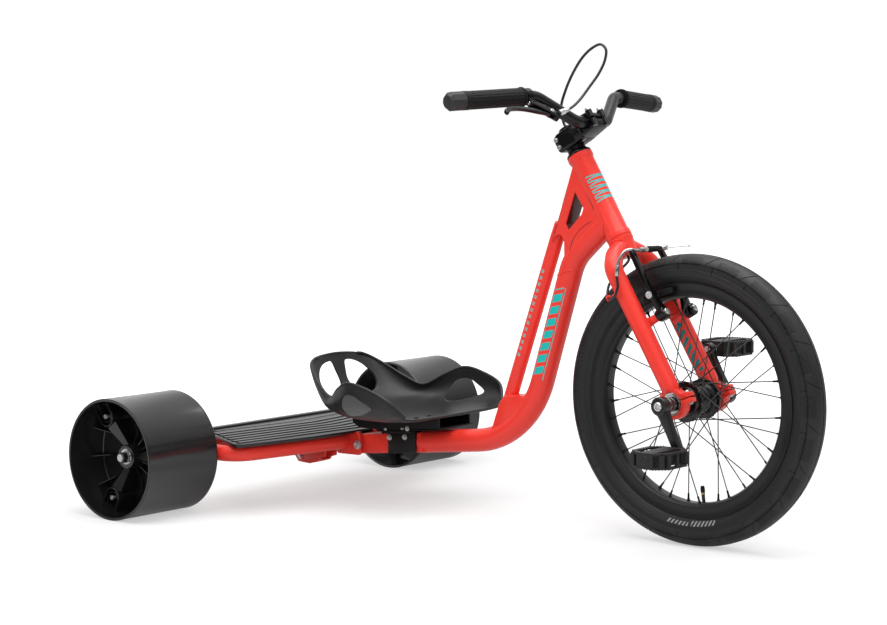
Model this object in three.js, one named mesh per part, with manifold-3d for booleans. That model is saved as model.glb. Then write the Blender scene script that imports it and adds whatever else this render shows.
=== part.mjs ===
// Drift trike: a 20 inch pedalled front wheel, a low bucket seat and two wide plastic rear drums.
// Units are millimetres, +X is forward, +Y is the rider's left and +Z is up.
// Pieces are placed from the rear axle, and the whole group is then shifted so that the origin
// lies on the floor, midway between the back of the rear drums and the front of the tyre.

import * as THREE from 'three';
import { mergeVertices } from 'three/addons/utils/BufferGeometryUtils.js';
import Module from 'manifold-3d';

const wasm = await Module();
wasm.setup();

// Driving dimensions
const WHEELBASE = 1005;
const TYRE_RADIUS = 260;
const TYRE_HALF_WIDTH = 28;
const BEAD_RADIUS = 203;
const RIM_INNER_RADIUS = 182;
const RIM_HALF_WIDTH = 17;
const SPOKES_PER_SIDE = 18;
const DRUM_RADIUS = 117;
const DRUM_INNER_FACE = 318;
const DRUM_OUTER_FACE = 490;
const HEAD_ANGLE = THREE.MathUtils.degToRad(59);
const HEAD_TUBE_LENGTH = 175;
const HEAD_TUBE_RADIUS = 22;
const STEERER_RADIUS = 14.3;
const STEERER_BORE = 11;
const MAIN_TUBE_RADIUS = 22.3;
const MAIN_TUBE_WALL = 2.6;
const REAR_TUBE_RADIUS = 12.5;
const SQUARE_TUBE_HALF = 20;
const FORK_LEG_RADIUS = 16.5;
const FORK_LEG_Y = 63;
const BAR_RADIUS = 11.1;
const GRIP_RADIUS = 16.5;
const CABLE_RADIUS = 2.5;
const CRANK_LENGTH = 88;
const AXLE_RADIUS = 7.5;
const GAP = 0.3;

// Places that several pieces share
const REAR_AXLE = new THREE.Vector3(0, 0, DRUM_RADIUS);
const FRONT_AXLE = new THREE.Vector3(WHEELBASE, 0, TYRE_RADIUS);
const HEAD_BOTTOM = new THREE.Vector3(843, 0, 542);
const UP_THE_HEAD = new THREE.Vector3(-Math.cos(HEAD_ANGLE), 0, Math.sin(HEAD_ANGLE));
const AHEAD = new THREE.Vector3(Math.sin(HEAD_ANGLE), 0, Math.cos(HEAD_ANGLE));
const SIDEWAYS = new THREE.Vector3(0, 1, 0);
const HEAD_TOP = HEAD_BOTTOM.clone().addScaledVector(UP_THE_HEAD, HEAD_TUBE_LENGTH);

// A point given by its distance ahead of the steering axis, sideways, and up from the head tube's top
function onHead(ahead, side, up) {
  return HEAD_TOP.clone().addScaledVector(AHEAD, ahead).addScaledVector(UP_THE_HEAD, up)
    .addScaledVector(SIDEWAYS, side);
}

// The same, but measured down the axis from the head tube's bottom, where the fork hangs
function onFork(down, side, ahead) {
  return onHead(ahead, side, -HEAD_TUBE_LENGTH - down);
}

const trike = new THREE.Group();
trike.position.x = -(WHEELBASE + TYRE_RADIUS - DRUM_RADIUS) / 2;

// Finishes
function finish(color, roughness, metalness) {
  return new THREE.MeshStandardMaterial({ color, roughness, metalness });
}
const RED_PAINT = finish(0xf2402e, 0.35, 0);
const BLACK_PAINT = finish(0x17181a, 0.35, 0.1);
const BLACK_ALLOY = finish(0x1c1d1f, 0.4, 0.6);
const BLACK_PLASTIC = finish(0x232426, 0.6, 0);
const GLOSS_PLASTIC = finish(0x1b1b1c, 0.22, 0);
const RUBBER = finish(0x2b2c2e, 0.8, 0);
const STEEL = finish(0xc4c6c8, 0.3, 1);
const SPOKE_BLACK = finish(0x202123, 0.4, 0.7);
const CABLE_BLACK = finish(0x141414, 0.5, 0);

// Turns a geometry into a solid: shared corners merged, flat triangles dropped, faces outward
function solid(geometry) {
  const bare = geometry.clone();
  bare.deleteAttribute('normal');
  bare.deleteAttribute('uv');
  const merged = mergeVertices(bare, 1e-4);
  const places = merged.attributes.position;
  const corner = (index) => new THREE.Vector3().fromBufferAttribute(places, index);
  const faces = [];
  let volume = 0;
  for (let i = 0; i < merged.index.count; i += 3) {
    const [a, b, c] = [0, 1, 2].map((step) => merged.index.getX(i + step));
    if (a !== b && b !== c && c !== a) {
      faces.push([a, b, c]);
      volume += corner(a).dot(corner(b).cross(corner(c)));
    }
  }
  const triVerts = new Uint32Array(faces.flatMap((face) => (volume < 0 ? face.reverse() : face)));
  const vertProperties = new Float32Array(places.array);
  return new wasm.Manifold(new wasm.Mesh({ numProp: 3, vertProperties, triVerts }));
}

function joined(...solids) {
  return solids.reduce((whole, next) => whole.add(next));
}

// Adds one finished piece to the trike, without needless corners on its flat faces
const FLATNESS = 0.02;
function piece(name, shape, material) {
  const { vertProperties, triVerts, numProp } = shape.simplify(FLATNESS).getMesh();
  const positions = new Float32Array((vertProperties.length / numProp) * 3);
  for (let i = 0; i < positions.length / 3; i += 1) {
    for (let axis = 0; axis < 3; axis += 1) {
      positions[3 * i + axis] = vertProperties[numProp * i + axis];
    }
  }
  const geometry = new THREE.BufferGeometry();
  geometry.setAttribute('position', new THREE.BufferAttribute(positions, 3));
  geometry.setIndex(new THREE.BufferAttribute(new Uint32Array(triVerts), 1));
  const mesh = new THREE.Mesh(geometry, material);
  mesh.name = name;
  trike.add(mesh);
}

// A path whose steps fall exactly on the given points
class StepPath extends THREE.Curve {
  constructor(points) {
    super();
    this.points = points;
  }

  getPoint(t) {
    const last = this.points.length - 1;
    const index = Math.min(Math.floor(t * last), last - 1);
    return this.points[index].clone().lerp(this.points[index + 1], t * last - index);
  }

  getPointAt(u) {
    return this.getPoint(u);
  }

  getTangentAt(u) {
    return this.getTangent(u);
  }
}

function vec(x, y, z) {
  return new THREE.Vector3(x, y, z);
}

// A path through corner points with each inner corner rounded to its radius
function rounded(corners, radii, stepsPerArc = 6) {
  const points = [corners[0]];
  for (let i = 1; i < corners.length - 1; i += 1) {
    const into = corners[i - 1].clone().sub(corners[i]).normalize();
    const outOf = corners[i + 1].clone().sub(corners[i]).normalize();
    const half = into.angleTo(outOf) / 2;
    const reach = radii[i - 1] / Math.tan(half);
    const start = corners[i].clone().addScaledVector(into, reach);
    const end = corners[i].clone().addScaledVector(outOf, reach);
    const middle = into.clone().add(outOf).normalize();
    const centre = corners[i].clone().addScaledVector(middle, radii[i - 1] / Math.sin(half));
    const fromCentre = start.clone().sub(centre);
    const turnAxis = fromCentre.clone().cross(end.clone().sub(centre)).normalize();
    for (let step = 0; step <= stepsPerArc; step += 1) {
      const turned = fromCentre.clone().applyAxisAngle(turnAxis, (Math.PI - 2 * half) * (step / stepsPerArc));
      points.push(centre.clone().add(turned));
    }
  }
  points.push(corners[corners.length - 1]);
  return points;
}

function polygon(points) {
  return new THREE.Shape(points.map(([x, y]) => new THREE.Vector2(x, y)));
}

function ringPoints(radius, sides, stretch = 1) {
  return Array.from({ length: sides }, (_, i) => {
    const angle = (2 * Math.PI * (i + 0.5)) / sides;
    return [radius * Math.cos(angle) * stretch, radius * Math.sin(angle)];
  });
}

// A tube or any other section swept along a list of points
function swept(points, section) {
  const settings = { extrudePath: new StepPath(points), steps: points.length - 1, bevelEnabled: false };
  return solid(new THREE.ExtrudeGeometry(polygon(section), settings));
}

function tube(points, radius, sides = 16) {
  return swept(points, ringPoints(radius, sides));
}

// A straight round rod between two points, tapered if a second radius is given
function rod(start, end, radius, sides = 16, endRadius = radius) {
  const length = start.distanceTo(end);
  const geometry = new THREE.CylinderGeometry(endRadius, radius, length, sides);
  const turn = new THREE.Quaternion().setFromUnitVectors(SIDEWAYS, end.clone().sub(start).normalize());
  geometry.applyQuaternion(turn);
  const middle = start.clone().lerp(end, 0.5);
  geometry.translate(middle.x, middle.y, middle.z);
  return solid(geometry);
}

// A closed profile of [radius, height] points turned about an axis
function turned(profile, centre, axis, segments = 24) {
  const closed = [...profile, profile[0]].map(([radius, height]) => new THREE.Vector2(radius, height));
  const geometry = new THREE.LatheGeometry(closed, segments);
  geometry.applyQuaternion(new THREE.Quaternion().setFromUnitVectors(SIDEWAYS, axis));
  geometry.translate(centre.x, centre.y, centre.z);
  return solid(geometry);
}

function ring(inner, outer, low, high, centre, axis, segments = 24) {
  return turned([[inner, low], [outer, low], [outer, high], [inner, high]], centre, axis, segments);
}

function block(low, high) {
  const size = high.clone().sub(low);
  const geometry = new THREE.BoxGeometry(size.x, size.y, size.z);
  const middle = low.clone().lerp(high, 0.5);
  geometry.translate(middle.x, middle.y, middle.z);
  return solid(geometry);
}

// An outline drawn in the plane of two directions and pulled along the third
function plate(outline, origin, across, upward, low, high) {
  const along = across.clone().cross(upward);
  const geometry = new THREE.ExtrudeGeometry(polygon(outline), { depth: high - low, bevelEnabled: false });
  geometry.translate(0, 0, low);
  geometry.applyMatrix4(new THREE.Matrix4().makeBasis(across, upward, along));
  geometry.translate(origin.x, origin.y, origin.z);
  return solid(geometry);
}

// An outline of [x, z] points with the given width across the trike
function sidePlate(outline, lowY, highY) {
  const forward = vec(1, 0, 0);
  const upward = vec(0, 0, 1);
  return plate(outline, vec(0, 0, 0), forward, upward, -highY, -lowY);
}

const SIDES = [['left', 1], ['right', -1]];

// Main frame: one welding of head tube, bent main tube, thin rear tube and two flat-sided gussets
const LOWER_TUBE_START = vec(376, 0, 129.5);
const SQUARE_TUBE_START = vec(204, 0, 111.3);
const HEAD_COLLAR_RADIUS = 24;
const HEAD_COLLAR_HEIGHT = 9;
const BEARING_SEAT_RADIUS = 20.7;
const BEARING_SEAT_DEPTH = 8;
const GUSSET_HALF = 20;
const GUSSET_WALL = 3;
const WEB_HALF = 16;

const mainTubeTop = vec(818, 0, 573);
const mainTubePath = rounded(
  [LOWER_TUBE_START, vec(632, 0, 157), vec(741, 0, 502), mainTubeTop], [185, 95], 5);
const boreStart = vec(200, 0, 110.9);
const borePath = [boreStart, ...mainTubePath];
const rearTube = tube([vec(588, 0, 226), vec(700, 0, 536), vec(712, 0, 566)], REAR_TUBE_RADIUS, 12);
const squareTube = swept(
  [SQUARE_TUBE_START, LOWER_TUBE_START.clone().add(vec(4, 0, 0.4))],
  [[-1, -1], [1, -1], [1, 1], [-1, 1]].map(([x, y]) => [x * SQUARE_TUBE_HALF, y * SQUARE_TUBE_HALF]));
const headTube = turned(
  [[0, 0], [HEAD_COLLAR_RADIUS, 0], [HEAD_COLLAR_RADIUS, HEAD_COLLAR_HEIGHT], [HEAD_TUBE_RADIUS, 15],
    [HEAD_TUBE_RADIUS, HEAD_TUBE_LENGTH - 15], [HEAD_COLLAR_RADIUS, HEAD_TUBE_LENGTH - HEAD_COLLAR_HEIGHT],
    [HEAD_COLLAR_RADIUS, HEAD_TUBE_LENGTH], [0, HEAD_TUBE_LENGTH]],
  HEAD_BOTTOM, UP_THE_HEAD, 20);
const headBore = rod(onFork(5, 0, 0), onHead(0, 0, 5), STEERER_RADIUS + 2, 16);
const bearingSeats = joined(
  rod(onHead(0, 0, -BEARING_SEAT_DEPTH), onHead(0, 0, 5), BEARING_SEAT_RADIUS, 16),
  rod(onFork(5, 0, 0), onFork(-BEARING_SEAT_DEPTH, 0, 0), BEARING_SEAT_RADIUS, 16));

const upperGusset = sidePlate(
  [[705, 530], [713, 541], [725, 546], [730, 540], [731, 478], [770, 520], [828, 573], [762, 682],
    [752, 672]], -GUSSET_HALF, GUSSET_HALF);
const gussetHollow = sidePlate(
  [[714, 552], [728, 552], [790, 552], [800, 580], [766, 640], [749, 655]],
  -GUSSET_HALF + GUSSET_WALL, GUSSET_HALF - GUSSET_WALL);
const diamondHole = sidePlate([[756, 628], [733, 565], [741, 552], [771, 584], [776, 597]], -30, 30);
const lowerWeb = sidePlate(
  [[561, 150], [589, 226], [597, 240], [650, 240], [652, 215], [612, 168]], -WEB_HALF, WEB_HALF);

const frameShell = joined(upperGusset.subtract(gussetHollow), tube(mainTubePath, MAIN_TUBE_RADIUS, 14),
  rearTube, lowerWeb, squareTube, headTube);
const squareBore = swept([boreStart, LOWER_TUBE_START.clone().sub(vec(14, 0, 1.5))],
  [[-1, -1], [1, -1], [1, 1], [-1, 1]].map(([x, y]) => [x * 17, y * 17]));
const roundBore = tube(borePath, MAIN_TUBE_RADIUS - MAIN_TUBE_WALL - 1, 8)
  .subtract(block(vec(190, -40, 60), vec(350, 40, 180)));

// The rear frame's fork straps to the square tube with one cross bolt
const FRAME_BOLT_PLACE = vec(222, 0, 112);
const FRAME_BOLT_RADIUS = 5;
const frameBoltHole = rod(FRAME_BOLT_PLACE.clone().setY(-60), FRAME_BOLT_PLACE.clone().setY(60),
  FRAME_BOLT_RADIUS + GAP, 14);
piece('main_frame', frameShell.subtract(squareBore).subtract(roundBore).subtract(headBore)
  .subtract(bearingSeats).subtract(diamondHole).subtract(frameBoltHole), RED_PAINT);

// Headset: two cartridge bearings pressed into the head tube
const BEARING_HEIGHT = 7;
[['upper', onHead(0, 0, -BEARING_SEAT_DEPTH + GAP)], ['lower', onFork(-BEARING_SEAT_DEPTH + GAP, 0, 0)]]
  .forEach(([end, place], index) => {
    const direction = index === 0 ? 1 : -1;
    const low = direction > 0 ? 0 : -BEARING_HEIGHT;
    piece(`headset_bearing_${end}`, ring(STEERER_RADIUS + GAP, BEARING_SEAT_RADIUS - GAP, low,
      low + BEARING_HEIGHT, place, UP_THE_HEAD, 16), STEEL);
  });

// Rear frame: a bent tube sweeps from drum to drum, with an axle tube, a keel and a clevis
const REAR_TUBE_HALF = 15.5;
const ARM_Y = 295;
const AXLE_TUBE_RADIUS = 13.5;
const KEEL_HALF = 14;
const CLEVIS_HALF = 29;
const CLEVIS_PLATE = 8;
const CLEVIS_START = 164;
const CLEVIS_END = 228;
const sweepTubePath = rounded(
  [vec(-6, -ARM_Y, DRUM_RADIUS), vec(146, -ARM_Y, DRUM_RADIUS), vec(186, -40, DRUM_RADIUS),
    vec(186, 40, DRUM_RADIUS), vec(146, ARM_Y, DRUM_RADIUS), vec(-6, ARM_Y, DRUM_RADIUS)],
  [46, 90, 90, 46], 3);
const clevisSide = (y) => sidePlate(
  [[CLEVIS_START, 90], [CLEVIS_END, 91], [CLEVIS_END, 138], [CLEVIS_START, 137]], y, y + CLEVIS_PLATE);
const bracketOutline = [[34, 118], [40, 74], [53, 59], [84, 58], [108, 68], [126, 80], [130, 118]];
const BRACKET_BOLT = vec(57, 0, 72);
const rearFrameSolid = joined(
  tube(sweepTubePath, REAR_TUBE_HALF, 12),
  rod(vec(0, -ARM_Y - 19, DRUM_RADIUS), vec(0, ARM_Y + 19, DRUM_RADIUS), AXLE_TUBE_RADIUS, 12),
  block(vec(0, -KEEL_HALF, 103), vec(190, KEEL_HALF, 131)),
  clevisSide(CLEVIS_HALF - CLEVIS_PLATE),
  clevisSide(-CLEVIS_HALF),
  block(vec(CLEVIS_START - 6, -CLEVIS_HALF, 92), vec(200, CLEVIS_HALF, 136)),
  sidePlate(bracketOutline, KEEL_HALF - 1, KEEL_HALF + 5),
  sidePlate(bracketOutline, -KEEL_HALF - 5, -KEEL_HALF + 1));
const axleBore = rod(vec(0, -400, DRUM_RADIUS), vec(0, 400, DRUM_RADIUS), AXLE_RADIUS + GAP, 12);
const bracketHole = rod(BRACKET_BOLT.clone().setY(-60), BRACKET_BOLT.clone().setY(60), 4, 12);
piece('rear_frame', rearFrameSolid.subtract(axleBore).subtract(frameBoltHole).subtract(bracketHole),
  RED_PAINT);

// A hexagon-headed bolt with its nut, lying across the trike
function crossBolt(place, radius, reach, headRadius, headHeight) {
  return joined(
    rod(place.clone().setY(-reach - headHeight), place.clone().setY(reach + headHeight), radius, 12),
    rod(place.clone().setY(-reach - headHeight), place.clone().setY(-reach - GAP), headRadius, 6),
    rod(place.clone().setY(reach + GAP), place.clone().setY(reach + headHeight), headRadius, 6));
}
piece('frame_bolt', crossBolt(FRAME_BOLT_PLACE, FRAME_BOLT_RADIUS, CLEVIS_HALF, 9, 6.5), STEEL);

// Deck: a ribbed tray bolted on top of the rear frame
const DECK_LOW = 133.4;
const DECK_TOP = 141;
const RIB_HEIGHT = 2;
const DECK_REAR = -27;
const DECK_SPREAD = 0.47;
const DECK_SWEEP = 0.115;
const RIB_WIDTH = 13;
const deckHalf = [[214, 0], [206, 140], [168, 312], [44, 252], [DECK_REAR, 218]];
const mirroredDeck = deckHalf.slice(1).reverse().map(([x, y]) => [x, -y]);
const deckOutline = [...deckHalf, ...mirroredDeck];
const flat = (outline, low, high) => plate(outline, vec(0, 0, 0), vec(1, 0, 0), SIDEWAYS, low, high);
const ribs = [58, 84, 110, 136, 162, 186].flatMap((x) => [1, -1].map((side) => {
  const reach = Math.min(215 + DECK_SPREAD * x, 300);
  const drop = DECK_SWEEP * reach;
  const far = side * reach;
  return flat([[x, 0], [x + RIB_WIDTH, 0], [x + RIB_WIDTH - drop, far], [x - drop, far]],
    DECK_TOP - 0.5, DECK_TOP + RIB_HEIGHT);
}));
const kickRail = block(vec(DECK_REAR, -214, DECK_TOP - 0.5), vec(DECK_REAR + 16, 214, DECK_TOP + 5));
const clevisRelief = block(vec(CLEVIS_START - 10, -CLEVIS_HALF - 2, 120), vec(300, CLEVIS_HALF + 2, 138.6));
piece('deck', joined(flat(deckOutline, DECK_LOW, DECK_TOP), kickRail, ...ribs).subtract(clevisRelief),
  BLACK_PAINT);

// Rear axle: one steel rod through both drums, with a nut at each end
const AXLE_END = 461;
const NUT_START = 449;
const NUT_END = 458;
const NUT_RADIUS = 11.5;
const onAxle = (y) => REAR_AXLE.clone().setY(y);
const nutBore = rod(onAxle(-500), onAxle(500), AXLE_RADIUS + GAP, 12);
piece('rear_axle', rod(onAxle(-AXLE_END), onAxle(AXLE_END), AXLE_RADIUS, 12), STEEL);
SIDES.forEach(([side, way]) => {
  const nut = rod(onAxle(way * NUT_START), onAxle(way * NUT_END), NUT_RADIUS, 6);
  piece(`axle_nut_${side}`, nut.subtract(nutBore), STEEL);
});

// Rear drums: moulded wheels with a web, a hub, wedge spokes and bolt bosses inside a wide sleeve
const SLEEVE_WALL = 5;
const WEB_LOW = 396;
const WEB_HIGH = 406;
const HUB_RADIUS = 24;
const HUB_LOW = 330;
const HUB_HIGH = 446;
const DRUM_BEARING_RADIUS = 16;
const DRUM_BEARING_HEIGHT = 10;
const BOSS_CIRCLE = 91;
const sleeveInner = DRUM_RADIUS - SLEEVE_WALL;
const seatRadius = DRUM_BEARING_RADIUS + GAP;
const drumProfile = [
  [10, HUB_LOW + 11], [seatRadius, HUB_LOW + 11], [seatRadius, HUB_LOW], [HUB_RADIUS, HUB_LOW],
  [HUB_RADIUS, WEB_LOW], [sleeveInner, WEB_LOW], [sleeveInner, DRUM_INNER_FACE],
  [DRUM_RADIUS - 2, DRUM_INNER_FACE], [DRUM_RADIUS, DRUM_INNER_FACE + 3], [DRUM_RADIUS, DRUM_OUTER_FACE - 3],
  [DRUM_RADIUS - 2, DRUM_OUTER_FACE], [sleeveInner, DRUM_OUTER_FACE], [sleeveInner, WEB_HIGH],
  [HUB_RADIUS, WEB_HIGH], [HUB_RADIUS, HUB_HIGH], [seatRadius, HUB_HIGH],
  [seatRadius, HUB_HIGH - 11], [10, HUB_HIGH - 11]];

// One wedge spoke from hub to wall with the boss that takes a through bolt
function drumSpoke(angle, axis) {
  const outward = vec(Math.cos(angle), 0, Math.sin(angle));
  const aside = axis.clone().cross(outward);
  const spokeSide = [[HUB_RADIUS - 2, WEB_LOW - 30], [HUB_RADIUS - 2, WEB_HIGH + 34],
    [BOSS_CIRCLE, WEB_HIGH + 14], [sleeveInner + 1, WEB_HIGH + 14], [sleeveInner + 1, WEB_LOW - 14],
    [BOSS_CIRCLE, WEB_LOW - 14]];
  const spoke = plate(spokeSide, REAR_AXLE, outward, axis, -6, 6);
  const bossCentre = REAR_AXLE.clone().addScaledVector(outward, BOSS_CIRCLE);
  const bossTop = WEB_HIGH + 44;
  const boss = rod(bossCentre.clone().addScaledVector(axis, WEB_HIGH - 2),
    bossCentre.clone().addScaledVector(axis, bossTop), 14, 12, 12.5);
  const pocket = rod(bossCentre.clone().addScaledVector(axis, bossTop - 16),
    bossCentre.clone().addScaledVector(axis, bossTop + 5), 9.5, 12);
  const mouth = plate([[BOSS_CIRCLE, -9], [sleeveInner - 1, -9], [sleeveInner - 1, 9], [BOSS_CIRCLE, 9]],
    REAR_AXLE, outward, aside, bossTop - 16, bossTop + 5);
  return { add: joined(spoke, boss), cut: joined(pocket, mouth) };
}

SIDES.forEach(([side, way]) => {
  const axis = SIDEWAYS.clone().multiplyScalar(way);
  let drum = turned(drumProfile, REAR_AXLE, axis, 24);
  const spokes = [125, 245, 5].map((degrees) => drumSpoke(THREE.MathUtils.degToRad(degrees), axis));
  spokes.forEach(({ add }) => {
    drum = drum.add(add);
  });
  spokes.forEach(({ cut }) => {
    drum = drum.subtract(cut);
  });
  piece(`rear_drum_${side}`, drum, GLOSS_PLASTIC);
  [['outer', HUB_HIGH - DRUM_BEARING_HEIGHT - GAP], ['inner', HUB_LOW + GAP]].forEach(([end, low]) => {
    piece(`rear_bearing_${end}_${side}`, ring(AXLE_RADIUS + GAP, DRUM_BEARING_RADIUS, low,
      low + DRUM_BEARING_HEIGHT, REAR_AXLE, axis, 16), STEEL);
  });
});

// Seat clamp: a folded steel saddle round the square tube with a flat rail on top
const TUBE_SLOPE = Math.tan(THREE.MathUtils.degToRad(6));
const tubeMiddle = (x) => 114 + TUBE_SLOPE * (x - 230);
const CLAMP_START = 300;
const CLAMP_END = 372;
const CLAMP_INNER = SQUARE_TUBE_HALF + 0.7;
const CLAMP_WALL = 5;
const RAIL_UNDER = 21;
const RAIL_TOP = 26;
const alongTube = (start, end, low, high) => [[start, tubeMiddle(start) + low], [end, tubeMiddle(end) + low],
  [end, tubeMiddle(end) + high], [start, tubeMiddle(start) + high]];
const clampOuter = sidePlate(alongTube(CLAMP_START, CLAMP_END, -20, RAIL_TOP - 1),
  -CLAMP_INNER - CLAMP_WALL, CLAMP_INNER + CLAMP_WALL);
const clampHollow = sidePlate(alongTube(CLAMP_START - 10, CLAMP_END + 10, -30, RAIL_UNDER),
  -CLAMP_INNER, CLAMP_INNER);
const clampRail = sidePlate(alongTube(CLAMP_START - 4, CLAMP_END, RAIL_UNDER, RAIL_TOP), -40, 40);
piece('seat_clamp', joined(clampOuter, clampRail).subtract(clampHollow), BLACK_PAINT);

// Seat shell: a moulded bucket with a raised back, two side wings and four cut-outs
const SHELL_WALL = 4;
const SEAT_LIFT = 1.5;
// Each row gives the centre line's x and z and the rim's x, y and z
const seatRows = [
  [144, 282, 147, 62, 283], [147, 268, 153, 82, 277], [160, 236, 176, 96, 254],
  [182, 208, 208, 106, 230], [214, 188, 240, 118, 211], [270, 176, 288, 150, 236],
  [330, 174, 327, 180, 256], [390, 177, 375, 183, 247], [438, 185, 420, 176, 230],
  [452, 189, 447, 140, 192]];
const seatCentre = new THREE.CatmullRomCurve3(seatRows.map(([x, z]) => vec(x, 0, z)));
const seatRim = new THREE.CatmullRomCurve3(seatRows.map(([, , x, y, z]) => vec(x, y, z)));
const BACK_POWER = 1.35;
const BUCKET_POWER = 0.62;
const BACK_END = 0.55;

// The back's section is pointed and turns, by BACK_END of the way, into the bucket's flat-floored one
function seatPoint(u, v) {
  const centre = seatCentre.getPoint(u);
  const rim = seatRim.getPoint(u);
  const angle = Math.abs(v) * Math.PI / 2;
  const power = BACK_POWER + (BUCKET_POWER - BACK_POWER) * Math.min(1, u / BACK_END);
  const out = Math.sin(angle) ** power;
  const rise = 1 - Math.cos(angle) ** power;
  return vec(centre.x + (rim.x - centre.x) * rise, Math.sign(v) * rim.y * out,
    centre.z + (rim.z - centre.z) * rise + SEAT_LIFT);
}

function seatNormal(u, v) {
  const step = 0.01;
  const along = seatPoint(Math.min(u + step, 1), v).sub(seatPoint(Math.max(u - step, 0), v));
  const side = Math.max(-1 + step, Math.min(1 - step, v));
  const across = seatPoint(u, side + step).sub(seatPoint(u, side - step));
  return along.cross(across).normalize();
}

function seatShell(rows, columns) {
  const positions = [];
  const indices = [];
  const at = (layer, i, j) => layer * (rows + 1) * (columns + 1) + i * (columns + 1) + j;
  [0, 1].forEach((layer) => {
    for (let i = 0; i <= rows; i += 1) {
      for (let j = 0; j <= columns; j += 1) {
        const point = seatPoint(i / rows, (2 * j) / columns - 1);
        point.addScaledVector(seatNormal(i / rows, (2 * j) / columns - 1), layer * -SHELL_WALL);
        positions.push(point.x, point.y, point.z);
      }
    }
  });
  const quad = (a, b, c, d) => indices.push(a, b, c, a, c, d);
  for (let i = 0; i < rows; i += 1) {
    for (let j = 0; j < columns; j += 1) {
      quad(at(0, i, j), at(0, i + 1, j), at(0, i + 1, j + 1), at(0, i, j + 1));
      quad(at(1, i, j), at(1, i, j + 1), at(1, i + 1, j + 1), at(1, i + 1, j));
    }
  }
  for (let i = 0; i < rows; i += 1) {
    quad(at(0, i, 0), at(1, i, 0), at(1, i + 1, 0), at(0, i + 1, 0));
    quad(at(0, i, columns), at(0, i + 1, columns), at(1, i + 1, columns), at(1, i, columns));
  }
  for (let j = 0; j < columns; j += 1) {
    quad(at(0, 0, j), at(0, 0, j + 1), at(1, 0, j + 1), at(1, 0, j));
    quad(at(0, rows, j), at(1, rows, j), at(1, rows, j + 1), at(0, rows, j + 1));
  }
  const geometry = new THREE.BufferGeometry();
  geometry.setAttribute('position', new THREE.Float32BufferAttribute(positions, 3));
  geometry.setIndex(indices);
  return solid(geometry);
}

const backHole = [[17, 272], [60, 266], [74, 252], [72, 232], [60, 219], [30, 222], [15, 236]];
const wingHole = [[316, 234], [336, 240], [365, 229], [388, 213], [340, 195], [310, 201]];
const BACK_CUT_START = 100;
const BACK_CUT_END = 212;
const WING_CUT_START = 100;
const WING_CUT_END = 230;
let shell = seatShell(18, 14);
SIDES.forEach(([, way]) => {
  const backCut = plate(backHole.map(([y, z]) => [y * way, z]), vec(0, 0, SEAT_LIFT), SIDEWAYS,
    vec(0, 0, 1), BACK_CUT_START, BACK_CUT_END);
  const wingCut = sidePlate(wingHole.map(([x, z]) => [x, z + SEAT_LIFT]),
    way > 0 ? WING_CUT_START : -WING_CUT_END, way > 0 ? WING_CUT_END : -WING_CUT_START);
  shell = shell.subtract(backCut).subtract(wingCut);
});
piece('seat_shell', shell, BLACK_PLASTIC);

// Seat carriage: a folded channel bolted under the shell that slides on the clamp's rail
const CARRIAGE_START = 292;
const CARRIAGE_END = 458;
const CARRIAGE_HALF = 48;
const carriageBase = sidePlate(alongTube(CARRIAGE_START, CARRIAGE_END, RAIL_TOP + GAP, RAIL_TOP + 4),
  -CARRIAGE_HALF, CARRIAGE_HALF);
const shellUnder = (x) => {
  let [low, high] = [0.4, 1];
  while (high - low > 0.001) {
    const middle = (low + high) / 2;
    [low, high] = seatPoint(middle, 0).x < x ? [middle, high] : [low, middle];
  }
  return seatPoint(low, 0).z - SHELL_WALL - 2 * GAP;
};
const wallOutline = [[CARRIAGE_START, tubeMiddle(CARRIAGE_START) + RAIL_TOP + GAP],
  [CARRIAGE_END - 6, tubeMiddle(CARRIAGE_END - 6) + RAIL_TOP + GAP],
  ...[CARRIAGE_END - 6, 430, 400, 360, 320, CARRIAGE_START].map((x) => [x, shellUnder(x)])];
piece('seat_carriage', joined(carriageBase, sidePlate(wallOutline, CARRIAGE_HALF - 4, CARRIAGE_HALF),
  sidePlate(wallOutline, -CARRIAGE_HALF, -CARRIAGE_HALF + 4)), BLACK_PAINT);

// Fork: hollow steerer, unicrown legs, split dropout rings and brake bosses in one welding
const STEERER_TOP = 54;
const DROPOUT_RING_RADIUS = 27.5;
const DROPOUT_INNER = 54;
const DROPOUT_OUTER = 74;
const DROPOUT_BEARING_RADIUS = 20;
const BOSS_DOWN = 173;
const BOSS_Y = 44;
const SPINDLE_RADIUS = 9.5;
const EAR_TILT = 0.42;
const EAR_THICKNESS = 16;
const SLIT_HALF = 1.1;
const legDrop = FRONT_AXLE.clone().sub(HEAD_BOTTOM).dot(UP_THE_HEAD) * -1;

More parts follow.
